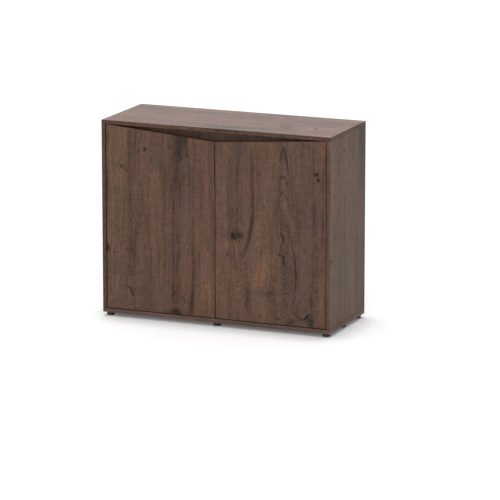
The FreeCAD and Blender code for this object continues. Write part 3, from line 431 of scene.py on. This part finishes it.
RIGHT_SIDE = dict(
    UPRIGHT, seed=21.0, face=505, edges=(1.00, 0.70),
    planks=((-198, "#5C4436"), (-112, "#564033"), (-30, "#5B4335"), (118, "#584235")),
    strokes=(
        # Smoky rear plank, darkest at the top, and the dark rear edge
        (34, 0.44, (156, 850), (152, 720)), (30, 0.34, (152, 770), (150, 600)),
        (18, 0.16, (132, 845), (130, 740)), (20, 0.22, (150, 640), (144, 500)),
        (5, 0.8, (183, 822), (183, 620)), (5, 0.6, (183, 640), (183, 380)),
        (5, 0.6, (183, 400), (183, 130)), (6, 0.8, (183, 150), (183, 30)),
        # Cracks
        (9, 0.38, (98, 400), (96, 290), (97, 180), (108, 40)),
        (9, 0.30, (-24, 260), (-22, 160), (-26, 50)), (8, 0.42, (-38, 410), (-42, 372)),
        (6, 0.26, (20, 640), (26, 540)),
        # Small knots
        (6, 0.8, (-47, 748), (-34, 745)), (5, 0.5, (-38, 640), (-28, 642)),
        (5, 0.4, (-46, 548), (-34, 542)), (9, 1.0, (-185, 315), (-176, 315)),
        (6, 0.4, (-188, 299), (-178, 299)),
        # Soft clouds, dark and pale
        (20, 0.14, (60, 790), (60, 700)), (10, 0.18, (-108, 760), (-106, 640)),
        (13, 0.28, (-150, 430), (-140, 390)), (12, 0.24, (-100, 540), (-108, 440)),
        (14, -0.25, (-40, 770), (-8, 740)), (16, -0.28, (32, 300), (44, 40)),
        (9, -0.2, (-176, 800), (-178, 520)), (10, -0.14, (-198, 810), (-198, 620)),
        (12, -0.16, (-40, 700), (-40, 560)), (9, -0.24, (-56, 530), (-53, 430)),
        (14, -0.12, (-150, 48), (60, 48)), (16, 0.20, (112, 720), (118, 430)),
        (14, 0.22, (24, 795), (20, 715)),
    ),
)
LEFT_SIDE = dict(
    UPRIGHT, seed=24.0, face=-505, edges=(0.89, 0.70),
    planks=((-198, "#5C4438"), (-70, "#5E463A"), (40, "#584236"), (130, "#5D4539")),
    bends=((20, 520, 55, 120, 14),),
    strokes=(
        # Made up, because the photograph does not show this side
        (10, 0.3, (-198, 815), (-198, 745)), (9, 0.9, (16, 524), (24, 518)),
        (20, 0.34, (10, 530), (30, 512)), (7, 0.44, (-66, 800), (-70, 640), (-64, 470)),
        (8, 0.36, (128, 380), (132, 230), (126, 60)), (5, 0.7, (-120, 208), (-112, 200)),
        (5, 0.5, (90, 706), (98, 700)), (18, 0.26, (44, 300), (38, 140)),
        (14, -0.2, (-150, 640), (-148, 420)), (12, -0.2, (92, 560), (94, 400)),
    ),
    arches=((-20, 240, 46, 150, 1.9, 11, -1, 25, 0.15), (20, 640, 40, 90, 1.8, 10, 1, 22, 0.12)),
)
INNER_UPRIGHT = dict(
    UPRIGHT, seed=27.0,
    planks=((-198, "#5B4438"), (-60, "#5E4639"), (80, "#5A4337")),
)
FLAT = dict(axes="YXZ", span=(-198, 198))
TOP = dict(
    FLAT, seed=31.0, face=825, edges=(0.79, 0.56), sheen=0.5, mottle=TOP_MOTTLE,
    planks=((-198, "#5E4438"), (-95, "#62463A"), (20, "#5E4439"), (150, "#64483B")),
    bends=((-48, 383, 50, 110, 10),),
    strokes=(
        # Knot and the warm patch round it
        (6, 1.5, (-70, 388), (-24, 377)), (32, -0.45, (-55, 340), (-50, 450)),
        (20, -0.25, (-30, 430), (-20, 480)),
        # Dark patches
        (26, 0.62, (-150, -60), (-146, 40), (-130, 160)), (15, 0.42, (-198, -20), (-198, 120)),
        (22, 0.40, (-90, 235), (-50, 262), (-15, 285)), (24, 0.44, (20, 215), (-20, 236)),
        (16, 0.32, (-118, 186), (-150, 204)), (20, 0.42, (-85, 262), (-125, 312)),
        (24, 0.38, (30, 335), (10, 470)), (10, 0.24, (-182, -210), (-184, -110)),
        (22, 0.34, (70, 320), (90, 400), (80, 480)), (20, 0.30, (100, -260), (110, -60), (100, 120)),
        (18, 0.30, (-95, -480), (-90, -330)), (16, 0.26, (40, -340), (50, -280)),
        (12, 0.26, (60, -110), (50, 140)), (20, 0.26, (-40, 80), (-20, 150)),
        (16, 0.3, (150, -480), (152, -360)), (16, 0.24, (160, 60), (165, 220)),
        # Pale streaks, and small pale specks that are painted glints
        (22, -0.3, (-30, -490), (-24, -430)), (20, -0.28, (-80, 90), (-76, 150)),
        (18, -0.24, (40, -240), (30, -160)), (14, -0.24, (70, 120), (74, 240)),
        (7, -0.9, (-126, -5), (-124, 3)), (6, -0.7, (-160, -250), (-158, -242)),
        (6, -0.7, (-160, 236), (-158, 244)), (6, -0.7, (-170, 486), (-168, 492)),
        (7, -0.5, (170, -2), (172, 4)),
    ),
)
# The bottom's browns and edge bands are lighter than the other boards': painted light from the floor
BOTTOM = dict(
    FLAT, seed=33.0, edges=(1.02, 1.18),
    planks=((-198, "#5F4B41"), (-95, "#5F473B"), (20, "#5B4439"), (150, "#5E463A")),
)
SHELF = dict(
    FLAT, seed=36.0,
    planks=((-198, "#5D4539"), (-50, "#5A4337"), (70, "#5F473A")),
    bends=((-20, 260, 50, 110, 10), (10, -250, 50, 110, -10)),
)
# The rail's browns are darker than the other boards': painted shade of the recess behind the doors
RAIL = dict(
    axes="XZY", seed=41.0, span=(-490, 490),
    planks=((-490, "#503A30"), (-150, "#4D382F"), (160, "#4F3A30")),
)
BACK = dict(
    axes="XZY", seed=43.0, span=(-490, 490), face=193,
    planks=(
        (-490, "#5C4438"), (-350, "#584236"), (-215, "#5E463A"), (-90, "#5A4338"), (60, "#5D4539"),
        (190, "#584237"), (330, "#5F473A"),
    ),
    bends=((-395, 300, 60, 120, 16), (130, 520, 60, 120, 16)),
    strokes=(
        # Made up, because the photograph does not show the back
        (9, 1.0, (-398, 304), (-392, 296)), (22, 0.34, (-405, 306), (-385, 294)),
        (8, 1.0, (128, 522), (132, 514)), (18, 0.34, (120, 524), (140, 512)),
        (7, 0.44, (-214, 790), (-208, 640), (-214, 480)), (7, 0.40, (330, 470), (326, 300), (332, 120)),
        (5, 0.7, (402, 196), (412, 190)), (5, 0.6, (-120, 128), (-112, 124)),
        (22, 0.26, (-60, 700), (-66, 520)), (20, 0.24, (420, 760), (424, 600)),
        (16, -0.2, (-300, 460), (-296, 200)), (16, -0.2, (232, 420), (228, 240)),
    ),
    arches=((-150, 330, 46, 170, 2.1, 9, -1, 25, 0.15), (262, 190, 44, 130, 1.7, 12, -1, 23, 0.14)),
)

BOARDS = (
    ("left_door", LEFT_DOOR, ("left_door",)),
    ("right_door", RIGHT_DOOR, ("right_door",)),
    ("right_side", RIGHT_SIDE, ("right_side_panel",)),
    ("left_side", LEFT_SIDE, ("left_side_panel",)),
    ("divider", INNER_UPRIGHT, ("centre_divider",)),
    ("top", TOP, ("top_panel",)),
    ("bottom", BOTTOM, ("bottom_panel",)),
    ("shelf", SHELF, ("left_shelf", "right_shelf")),
    ("rail", RAIL, ("front_rail",)),
    ("back", BACK, ("left_back_panel", "right_back_panel")),
)
for name, decor, nodes in BOARDS:
    finish_with(oak_decor(f"dark_oak_melamine_{name}", **decor), *nodes)


# Fittings

# Patches of a plated, cast or moulded surface: the noise at which they begin and are full, how rough
# the noise is, and how strongly they stand out
PATCH_LIMITS = (0.3, 0.7)
PATCH_DETAIL = 4
PATCH_NOISE = 0.6
PATCH_STRENGTH = 0.6


def grained(name, colours, grain, roughness, relief, metallic=0.0, stretch=(1, 1, 1)):
    """A surface whose colour, gloss and height vary over patches of grain mm.

    colours and roughness run from the low patches to the high ones, and relief is their height in mm.
    """
    made, tree = new_material(name)
    spot = add(tree, "ShaderNodeTexCoord").outputs["Object"]
    scale = [1 / (grain * MM * part) for part in stretch]
    at = add(tree, "ShaderNodeMapping", {0: spot, "Scale": scale}).outputs[0]
    patches = add(tree, "ShaderNodeTexNoise", {
        "Vector": at, "Scale": 1, "Detail": PATCH_DETAIL, "Roughness": PATCH_NOISE}).outputs[0]
    begin, full = PATCH_LIMITS
    part = add(tree, "ShaderNodeMapRange", {0: patches, 1: begin, 2: full}).outputs[0]
    low, high = (linear(colour) for colour in colours)
    colour = add(tree, "ShaderNodeMix", {0: part, 6: low, 7: high}, data_type="RGBA").outputs[2]
    gloss = add(tree, "ShaderNodeMapRange", {0: part, 3: roughness[0], 4: roughness[1]}).outputs[0]
    bumps = add(tree, "ShaderNodeBump", {
        "Strength": PATCH_STRENGTH, "Distance": relief * MM, "Height": part}).outputs[0]
    shader = add(tree, "ShaderNodeBsdfPrincipled", {
        "Base Color": colour, "Roughness": gloss, "Metallic": metallic, "Normal": bumps})
    add(tree, "ShaderNodeOutputMaterial", {0: shader.outputs[0]})
    return made


# Pressed steel, tumbled and nickel-plated: warm grey, bright, a little cloudy
NICKEL = grained("nickel_plated_steel", ("#B4AFA7", "#C6C1B9"), 9, (0.24, 0.34), 0.001, metallic=1.0)
# Die-cast zinc alloy, left as it leaves the mould: bluish grey, dull and mottled
ZINC = grained("die_cast_zinc", ("#8B8E92", "#A3A5A7"), 1.6, (0.38, 0.55), 0.01, metallic=1.0)
# Moulded polypropylene from a spark-eroded mould: black with a fine matt grain, drawn twice as coarse
# so that it shows
BLACK_PLASTIC = grained("black_polypropylene", ("#151517", "#202022"), 0.9, (0.42, 0.6), 0.05)
# Moulded brown ABS: smoother than the feet, a soft sheen
BROWN_PLASTIC = grained("brown_abs", ("#41322A", "#4A3A31"), 1.4, (0.32, 0.44), 0.02)
# Soft clear rubber: looks pale grey on the board behind it, and dull
RUBBER = grained("clear_soft_rubber", ("#8F8780", "#A29A92"), 0.8, (0.5, 0.7), 0.03)
# Bare beech turned on a fluting machine: pale, with short brown flecks along the grain
BEECH = grained("bare_beech", ("#B98E62", "#CFA77A"), 0.7, (0.55, 0.7), 0.05, stretch=(1, 1, 9))

for name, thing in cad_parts.items():
    if name.endswith(("_foot", "_grommet")):
        finish_with(BLACK_PLASTIC, name)
    elif name.endswith("_catch"):
        finish_with(BROWN_PLASTIC, name)
    elif name.endswith("_bumpers"):
        finish_with(RUBBER, name)
    elif name.startswith("cam_"):
        finish_with(ZINC, name)
    elif name == "wooden_dowels":
        finish_with(BEECH, name)
    elif "oak" not in thing.data.materials[0].name:
        finish_with(NICKEL, name)


# Screws: the head's crown as a power of the radius, its recess in shares of the head's radius and height
SCREW_SIZES = ("Head Radius", "Head Height", "Shank Radius", "Shank Length")
HEAD_SIDES = 32
HEAD_RINGS = 6
SHANK_SIDES = 16
CROWN_POWER = 2.4
RECESS_LENGTH = 1.15
RECESS_WIDTH = 0.28
RECESS_DEPTH = 1.3
SMOOTH_ANGLE = math.radians(30)
TURN_SEED = 5
# Reading the plain screws: corners this near are one, a head's rim is beyond this share of its radius,
# and a shank's end lies within this distance
SAME_CORNER = 1e-6
HEAD_RIM = 0.9
SHANK_END = 0.1 * MM


def screw_tree():
    """Geometry nodes: a round-headed screw with a cross recess on every point, along its axis."""
    tree = bpy.data.node_groups.new("cross_recess_screws", "GeometryNodeTree")
    sockets = tree.interface
    sockets.new_socket("Geometry", in_out="INPUT", socket_type="NodeSocketGeometry")
    for size in SCREW_SIZES:
        sockets.new_socket(size, in_out="INPUT", socket_type="NodeSocketFloat")
    sockets.new_socket("Material", in_out="INPUT", socket_type="NodeSocketMaterial")
    sockets.new_socket("Geometry", in_out="OUTPUT", socket_type="NodeSocketGeometry")
    given = add(tree, "NodeGroupInput").outputs
    radius, height = given["Head Radius"], given["Head Height"]
    # Head: a disc of rings, whose rim sinks to half the height
    half = add(tree, "ShaderNodeMath", {0: height, 1: 0.5}, operation="MULTIPLY").outputs[0]
    centre = add(tree, "ShaderNodeCombineXYZ", {2: half}).outputs[0]
    disc = add(tree, "GeometryNodeMeshCylinder", {
        "Vertices": HEAD_SIDES, "Fill Segments": HEAD_RINGS, "Radius": radius, "Depth": height,
    }, fill_type="TRIANGLE_FAN").outputs["Mesh"]
    disc = add(tree, "GeometryNodeTransform", {"Geometry": disc, "Translation": centre}).outputs[0]
    here = add(tree, "GeometryNodeInputPosition").outputs[0]
    level = add(tree, "ShaderNodeSeparateXYZ", {0: here}).outputs[2]
    upper = add(tree, "ShaderNodeMath", {0: level, 1: half}, operation="GREATER_THAN").outputs[0]
    flat = add(tree, "ShaderNodeVectorMath", {0: here, 1: (1, 1, 0)}, operation="MULTIPLY").outputs[0]
    reach = add(tree, "ShaderNodeVectorMath", {0: flat}, operation="LENGTH").outputs["Value"]
    reach = add(tree, "ShaderNodeMath", {0: reach, 1: radius}, operation="DIVIDE").outputs[0]
    reach = add(tree, "ShaderNodeMath", {0: reach, 1: CROWN_POWER}, operation="POWER").outputs[0]
    sink = add(tree, "ShaderNodeMath", {0: reach, 1: half}, operation="MULTIPLY").outputs[0]
    sink = add(tree, "ShaderNodeMath", {0: sink, 1: -1}, operation="MULTIPLY").outputs[0]
    drop = add(tree, "ShaderNodeCombineXYZ", {2: sink}).outputs[0]
    head = add(tree, "GeometryNodeSetPosition", {
        "Geometry": disc, "Selection": upper, "Offset": drop}).outputs[0]
    # Cross recess: two bars, cut into the head from its top
    crest = add(tree, "ShaderNodeCombineXYZ", {2: height}).outputs[0]
    long = add(tree, "ShaderNodeMath", {0: radius, 1: RECESS_LENGTH}, operation="MULTIPLY").outputs[0]
    wide = add(tree, "ShaderNodeMath", {0: radius, 1: RECESS_WIDTH}, operation="MULTIPLY").outputs[0]
    deep = add(tree, "ShaderNodeMath", {0: height, 1: RECESS_DEPTH}, operation="MULTIPLY").outputs[0]
    bars = []
    for sides in ((long, wide, deep), (wide, long, deep)):
        size = add(tree, "ShaderNodeCombineXYZ", dict(enumerate(sides))).outputs[0]
        bar = add(tree, "GeometryNodeMeshCube", {"Size": size}).outputs["Mesh"]
        bars.append(add(tree, "GeometryNodeTransform", {"Geometry": bar, "Translation": crest}).outputs[0])
    head = add(tree, "GeometryNodeMeshBoolean", {
        "Mesh 1": head, "Mesh 2": bars}, operation="DIFFERENCE").outputs[0]
    # Shank, down from the seat
    length = given["Shank Length"]
    below = add(tree, "ShaderNodeMath", {0: length, 1: -0.5}, operation="MULTIPLY").outputs[0]
    below = add(tree, "ShaderNodeCombineXYZ", {2: below}).outputs[0]
    shank = add(tree, "GeometryNodeMeshCylinder", {
        "Vertices": SHANK_SIDES, "Radius": given["Shank Radius"], "Depth": length}).outputs["Mesh"]
    shank = add(tree, "GeometryNodeTransform", {"Geometry": shank, "Translation": below}).outputs[0]
    screw = add(tree, "GeometryNodeJoinGeometry", {0: [head, shank]}).outputs[0]
    bend = add(tree, "GeometryNodeInputMeshEdgeAngle").outputs[0]
    smooth = add(tree, "ShaderNodeMath", {0: bend, 1: SMOOTH_ANGLE}, operation="LESS_THAN").outputs[0]
    screw = add(tree, "GeometryNodeSetShadeSmooth", {0: screw, 2: smooth}, domain="EDGE").outputs[0]
    screw = add(tree, "GeometryNodeSetShadeSmooth", {0: screw}, domain="FACE").outputs[0]
    # Each one stands on its own axis, driven home at a turn of its own
    axis = add(tree, "GeometryNodeInputNamedAttribute", {
        "Name": "axis"}, data_type="FLOAT_VECTOR").outputs[0]
    stand = add(tree, "FunctionNodeAlignRotationToVector", {"Vector": axis}, axis="Z").outputs[0]
    angle = add(tree, "FunctionNodeRandomValue", {
        "Max": math.pi / 2, "Seed": TURN_SEED}, data_type="FLOAT").outputs[1]
    spin = add(tree, "FunctionNodeAxisAngleToRotation", {"Axis": (0, 0, 1), "Angle": angle}).outputs[0]
    stand = add(tree, "FunctionNodeRotateRotation", {0: stand, 1: spin}, rotation_space="LOCAL").outputs[0]
    screws = add(tree, "GeometryNodeInstanceOnPoints", {
        "Points": given[0], "Instance": screw, "Rotation": stand}).outputs[0]
    screws = add(tree, "GeometryNodeRealizeInstances", {0: screws}).outputs[0]
    screws = add(tree, "GeometryNodeSetMaterial", {0: screws, "Material": given["Material"]}).outputs[0]
    add(tree, "NodeGroupOutput", {0: screws})
    return tree


def merged_copy(node):
    """A copy of a CAD node's mesh, with its loose triangles joined."""
    copy = bmesh.new()
    copy.from_mesh(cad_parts[node].data)
    bmesh.ops.remove_doubles(copy, verts=copy.verts, dist=SAME_CORNER)
    return copy


def finished_piece(name, mesh, body):
    """An object of a mesh that rides with a body."""
    piece = bpy.data.objects.new(name, mesh)
    bpy.context.collection.objects.link(piece)
    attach(piece, body)
    return piece


def solids_of(node):
    """The corners of each separate solid of a CAD node."""
    copy = merged_copy(node)
    left = set(copy.verts)
    solids = []
    while left:
        found = [left.pop()]
        for vert in found:
            for edge in vert.link_edges:
                other = edge.other_vert(vert)
                if other in left:
                    left.remove(other)
                    found.append(other)
        solids.append([vert.co.copy() for vert in found])
    copy.free()
    return solids


def screw_sizes(corners):
    """Where a plain CAD screw seats, the way its head points, and its sizes."""
    low = Vector([min(c[i] for c in corners) for i in range(3)])
    high = Vector([max(c[i] for c in corners) for i in range(3)])
    middle = (low + high) / 2
    spread = high - low
    way = max(range(3), key=lambda i: spread[i])
    sides = [i for i in range(3) if i != way]
    wide = [(math.hypot(*(c[i] - middle[i] for i in sides)), c[way]) for c in corners]
    head_radius = max(r for r, _ in wide)
    head = [level for r, level in wide if r > HEAD_RIM * head_radius]
    sign = 1 if sum(head) / len(head) > middle[way] else -1
    seat, far = (min(head), low[way]) if sign > 0 else (max(head), high[way])
    axis = Vector([sign if i == way else 0 for i in range(3)])
    point = middle.copy()
    point[way] = seat
    shank_radius = max(r for r, level in wide if abs(level - far) < SHANK_END)
    return point, axis, (head_radius, max(head) - min(head), shank_radius, abs(seat - far))


SCREWS = screw_tree()


def cross_recess_screws(node, body):
    """Screws with a cross recess, in the place of a node's plain ones."""
    found = [screw_sizes(corners) for corners in solids_of(node)]
    found.sort(key=lambda screw: tuple(screw[0]))
    points = bpy.data.meshes.new("screw_points")
    points.from_pydata([point for point, _, _ in found], [], [])
    axes = points.attributes.new("axis", "FLOAT_VECTOR", "POINT")
    for i, (_, axis, _) in enumerate(found):
        axes.data[i].vector = axis
    maker = bpy.data.objects.new("screw_maker", points)
    bpy.context.collection.objects.link(maker)
    nodes = maker.modifiers.new("screws", "NODES")
    nodes.node_group = SCREWS
    inputs = {s.name: s.identifier for s in SCREWS.interface.items_tree if s.in_out == "INPUT"}
    values = dict(zip(SCREW_SIZES, found[0][2]))
    for name, value in {**values, "Material": NICKEL}.items():
        nodes[inputs[name]] = value
    mesh = bpy.data.meshes.new_from_object(maker.evaluated_get(bpy.context.evaluated_depsgraph_get()))
    bpy.data.objects.remove(maker)
    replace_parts(finished_piece(f"recessed_{node}", mesh, body), node)


for node in ("hinge_plate_screws", "hinge_clamp_screws", "catch_screws", "foot_screws"):
    cross_recess_screws(node, "carcass")
for side in ("left", "right"):
    cross_recess_screws(f"{side}_cup_screws", f"{side}_door")
    cross_recess_screws(f"{side}_strike_screws", f"{side}_door")

# Eased edges of the pressed and moulded fittings
EASE = 0.3 * MM
EASE_SEGMENTS = 2
LONG_EDGE = 2.5 * MM
FLAT_ANGLE = math.radians(1)
SHARP_ANGLE = math.radians(50)
CORNER_ANGLE = math.radians(20)


def eased_mesh(name, shape, material):
    """Ease the long sharp edges of a shape, and shade it smooth but for its corners."""
    bmesh.ops.dissolve_limit(shape, angle_limit=FLAT_ANGLE, verts=shape.verts, edges=shape.edges)
    sharp = [e for e in shape.edges if e.calc_face_angle(0) > SHARP_ANGLE and e.calc_length() > LONG_EDGE]
    bmesh.ops.bevel(
        shape, geom=sharp, offset=EASE, offset_type="OFFSET", segments=EASE_SEGMENTS, profile=0.5,
        affect="EDGES", clamp_overlap=True)
    mesh = bpy.data.meshes.new(name)
    shape.to_mesh(mesh)
    shape.free()
    mesh.shade_smooth()
    mesh.set_sharp_from_angle(angle=CORNER_ANGLE)
    mesh.materials.append(material)
    return mesh


def eased(node, body):
    """A copy of a CAD node whose edges are eased as pressing, tumbling or moulding leaves them."""
    mesh = eased_mesh(f"eased_{node}", merged_copy(node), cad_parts[node].data.materials[0])
    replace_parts(finished_piece(f"eased_{node}", mesh, body), node)


# Pole plates of a magnetic catch: two strips of steel that stand a little proud of its mouth
POLE_THICKNESS = 1.6 * MM
POLE_HEIGHT = 18 * MM
POLE_STEP = 6.5 * MM
POLE_PROUD = 0.25 * MM
POLE_LEAD = 1.0 * MM
SQUARE = ((-1, -1), (1, -1), (1, 1), (-1, 1))


def pole_plates(side):
    """Strips whose ends slope down to the catch's mouth, so that the strike plate slides on."""
    low, high = (Vector(corner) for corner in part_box(f"{side}_magnetic_catch"))
    middle = (low + high) / 2
    shape = bmesh.new()
    for way in (-1, 1):
        x = middle.x + way * POLE_STEP / 2
        rings = []
        for ahead, half_height in ((0, POLE_HEIGHT / 2), (POLE_PROUD, POLE_HEIGHT / 2 - POLE_LEAD)):
            y = low.y - ahead
            rings.append([
                shape.verts.new((x + across * POLE_THICKNESS / 2, y, middle.z + up * half_height))
                for across, up in SQUARE])
        back, front = rings
        shape.faces.new(front)
        shape.faces.new(reversed(back))
        for i in range(4):
            shape.faces.new((back[i], back[(i + 1) % 4], front[(i + 1) % 4], front[i]))
    bmesh.ops.recalc_face_normals(shape, faces=shape.faces)
    mesh = bpy.data.meshes.new(f"{side}_pole_plates")
    shape.to_mesh(mesh)
    shape.free()
    mesh.materials.append(NICKEL)
    finished_piece(f"{side}_pole_plates", mesh, "carcass")


for side in ("left", "right"):
    for level in ("upper", "lower"):
        eased(f"{side}_{level}_hinge_plate", "carcass")
        eased(f"{side}_{level}_hinge_arm", "carcass")
        eased(f"{side}_{level}_hinge_cup", f"{side}_door")
    eased(f"{side}_strike_plate", f"{side}_door")
    eased(f"{side}_magnetic_catch", "carcass")
    pole_plates(side)


# Studio: pale floor, three soft lamps and an even white surround

HALF_FLOOR = 60.0
FLOOR_GAP = 0.5 * MM
FLOOR_LIFT = 0.105
SURROUND_LIGHT = 0.60
SURROUND_SEEN = 1.0

corners = [(x * HALF_FLOOR, y * HALF_FLOOR, 0) for x, y in SQUARE]
floor_mesh = bpy.data.meshes.new("studio_floor")
floor_mesh.from_pydata(corners, [], [(0, 1, 2, 3)])
floor = bpy.data.objects.new("studio_floor", floor_mesh)
bpy.context.collection.objects.link(floor)
floor.location.z = -FLOOR_GAP
# Matt white paint, with a little of its own light for the camera, so that shadows stay soft
floor_paint, tree = new_material("matt_white_floor")
matt = add(tree, "ShaderNodeBsdfDiffuse", {"Color": linear("#D6D6D6")}).outputs[0]
seen = add(tree, "ShaderNodeLightPath").outputs["Is Camera Ray"]
lift = add(tree, "ShaderNodeMath", {0: seen, 1: FLOOR_LIFT}, operation="MULTIPLY").outputs[0]
glow = add(tree, "ShaderNodeEmission", {"Strength": lift}).outputs[0]
shader = add(tree, "ShaderNodeAddShader", {0: matt, 1: glow})
add(tree, "ShaderNodeOutputMaterial", {0: shader.outputs[0]})
floor_mesh.materials.append(floor_paint)

world = bpy.data.worlds.new("white_surround")
bpy.context.scene.world = world
world.use_nodes = True
tree = world.node_tree
tree.nodes.clear()
path = add(tree, "ShaderNodeLightPath").outputs
seen = path["Is Camera Ray"]
for ray in ("Is Glossy Ray", "Is Transmission Ray"):
    seen = add(tree, "ShaderNodeMath", {0: seen, 1: path[ray]}, operation="MAXIMUM").outputs[0]
strength = add(tree, "ShaderNodeMapRange", {0: seen, 3: SURROUND_LIGHT, 4: SURROUND_SEEN}).outputs[0]
sky = add(tree, "ShaderNodeBackground", {"Color": (1, 1, 1, 1), "Strength": strength})
add(tree, "ShaderNodeOutputWorld", {0: sky.outputs[0]})

# Lamps: name, irradiance over pi, apparent width in degrees, direction it comes from
LAMPS = (
    ("overhead_key", 0.67, 14, (-0.02, 0.05, 0.99)),
    ("rear_soft", 0.13, 60, (-0.32, 0.24, 0.92)),
    ("front_fill", 0.27, 60, (0.0, -0.91, 0.42)),
)
for name, level, width, source in LAMPS:
    lamp_data = bpy.data.lights.new(name, "SUN")
    lamp_data.energy = level * math.pi
    lamp_data.angle = math.radians(width)
    lamp = bpy.data.objects.new(name, lamp_data)
    bpy.context.collection.objects.link(lamp)
    lamp.rotation_euler = Vector(source).to_track_quat("Z", "Y").to_euler()


# Camera, from the lines of the cabinet in the photograph; lengths are metres but for lens and sensor

AZIMUTH = math.radians(22.7766)
ELEVATION = math.radians(12.7598)
DISTANCE = 14.4424
AIM_HEIGHT = 0.415
AIM_RIGHT = 0.0677
AIM_UP = -0.1317
LENS_MM = 252.28
SENSOR_MM = 36.0

flat = math.cos(ELEVATION)
towards = Vector((math.sin(AZIMUTH) * flat, -math.cos(AZIMUTH) * flat, math.sin(ELEVATION)))
right = Vector((math.cos(AZIMUTH), math.sin(AZIMUTH), 0))
upward = towards.cross(right)
aim = Vector((0, 0, AIM_HEIGHT)) + AIM_RIGHT * right + AIM_UP * upward
lens = bpy.data.cameras.new("photo_camera")
lens.lens = LENS_MM
lens.sensor_width = SENSOR_MM
camera = bpy.data.objects.new("photo_camera", lens)
bpy.context.collection.objects.link(camera)
turn = Matrix((right, upward, towards)).transposed().to_4x4()
camera.matrix_world = Matrix.Translation(aim + towards * DISTANCE) @ turn
bpy.context.scene.camera = camera
bpy.context.scene.view_settings.view_transform = "Standard"
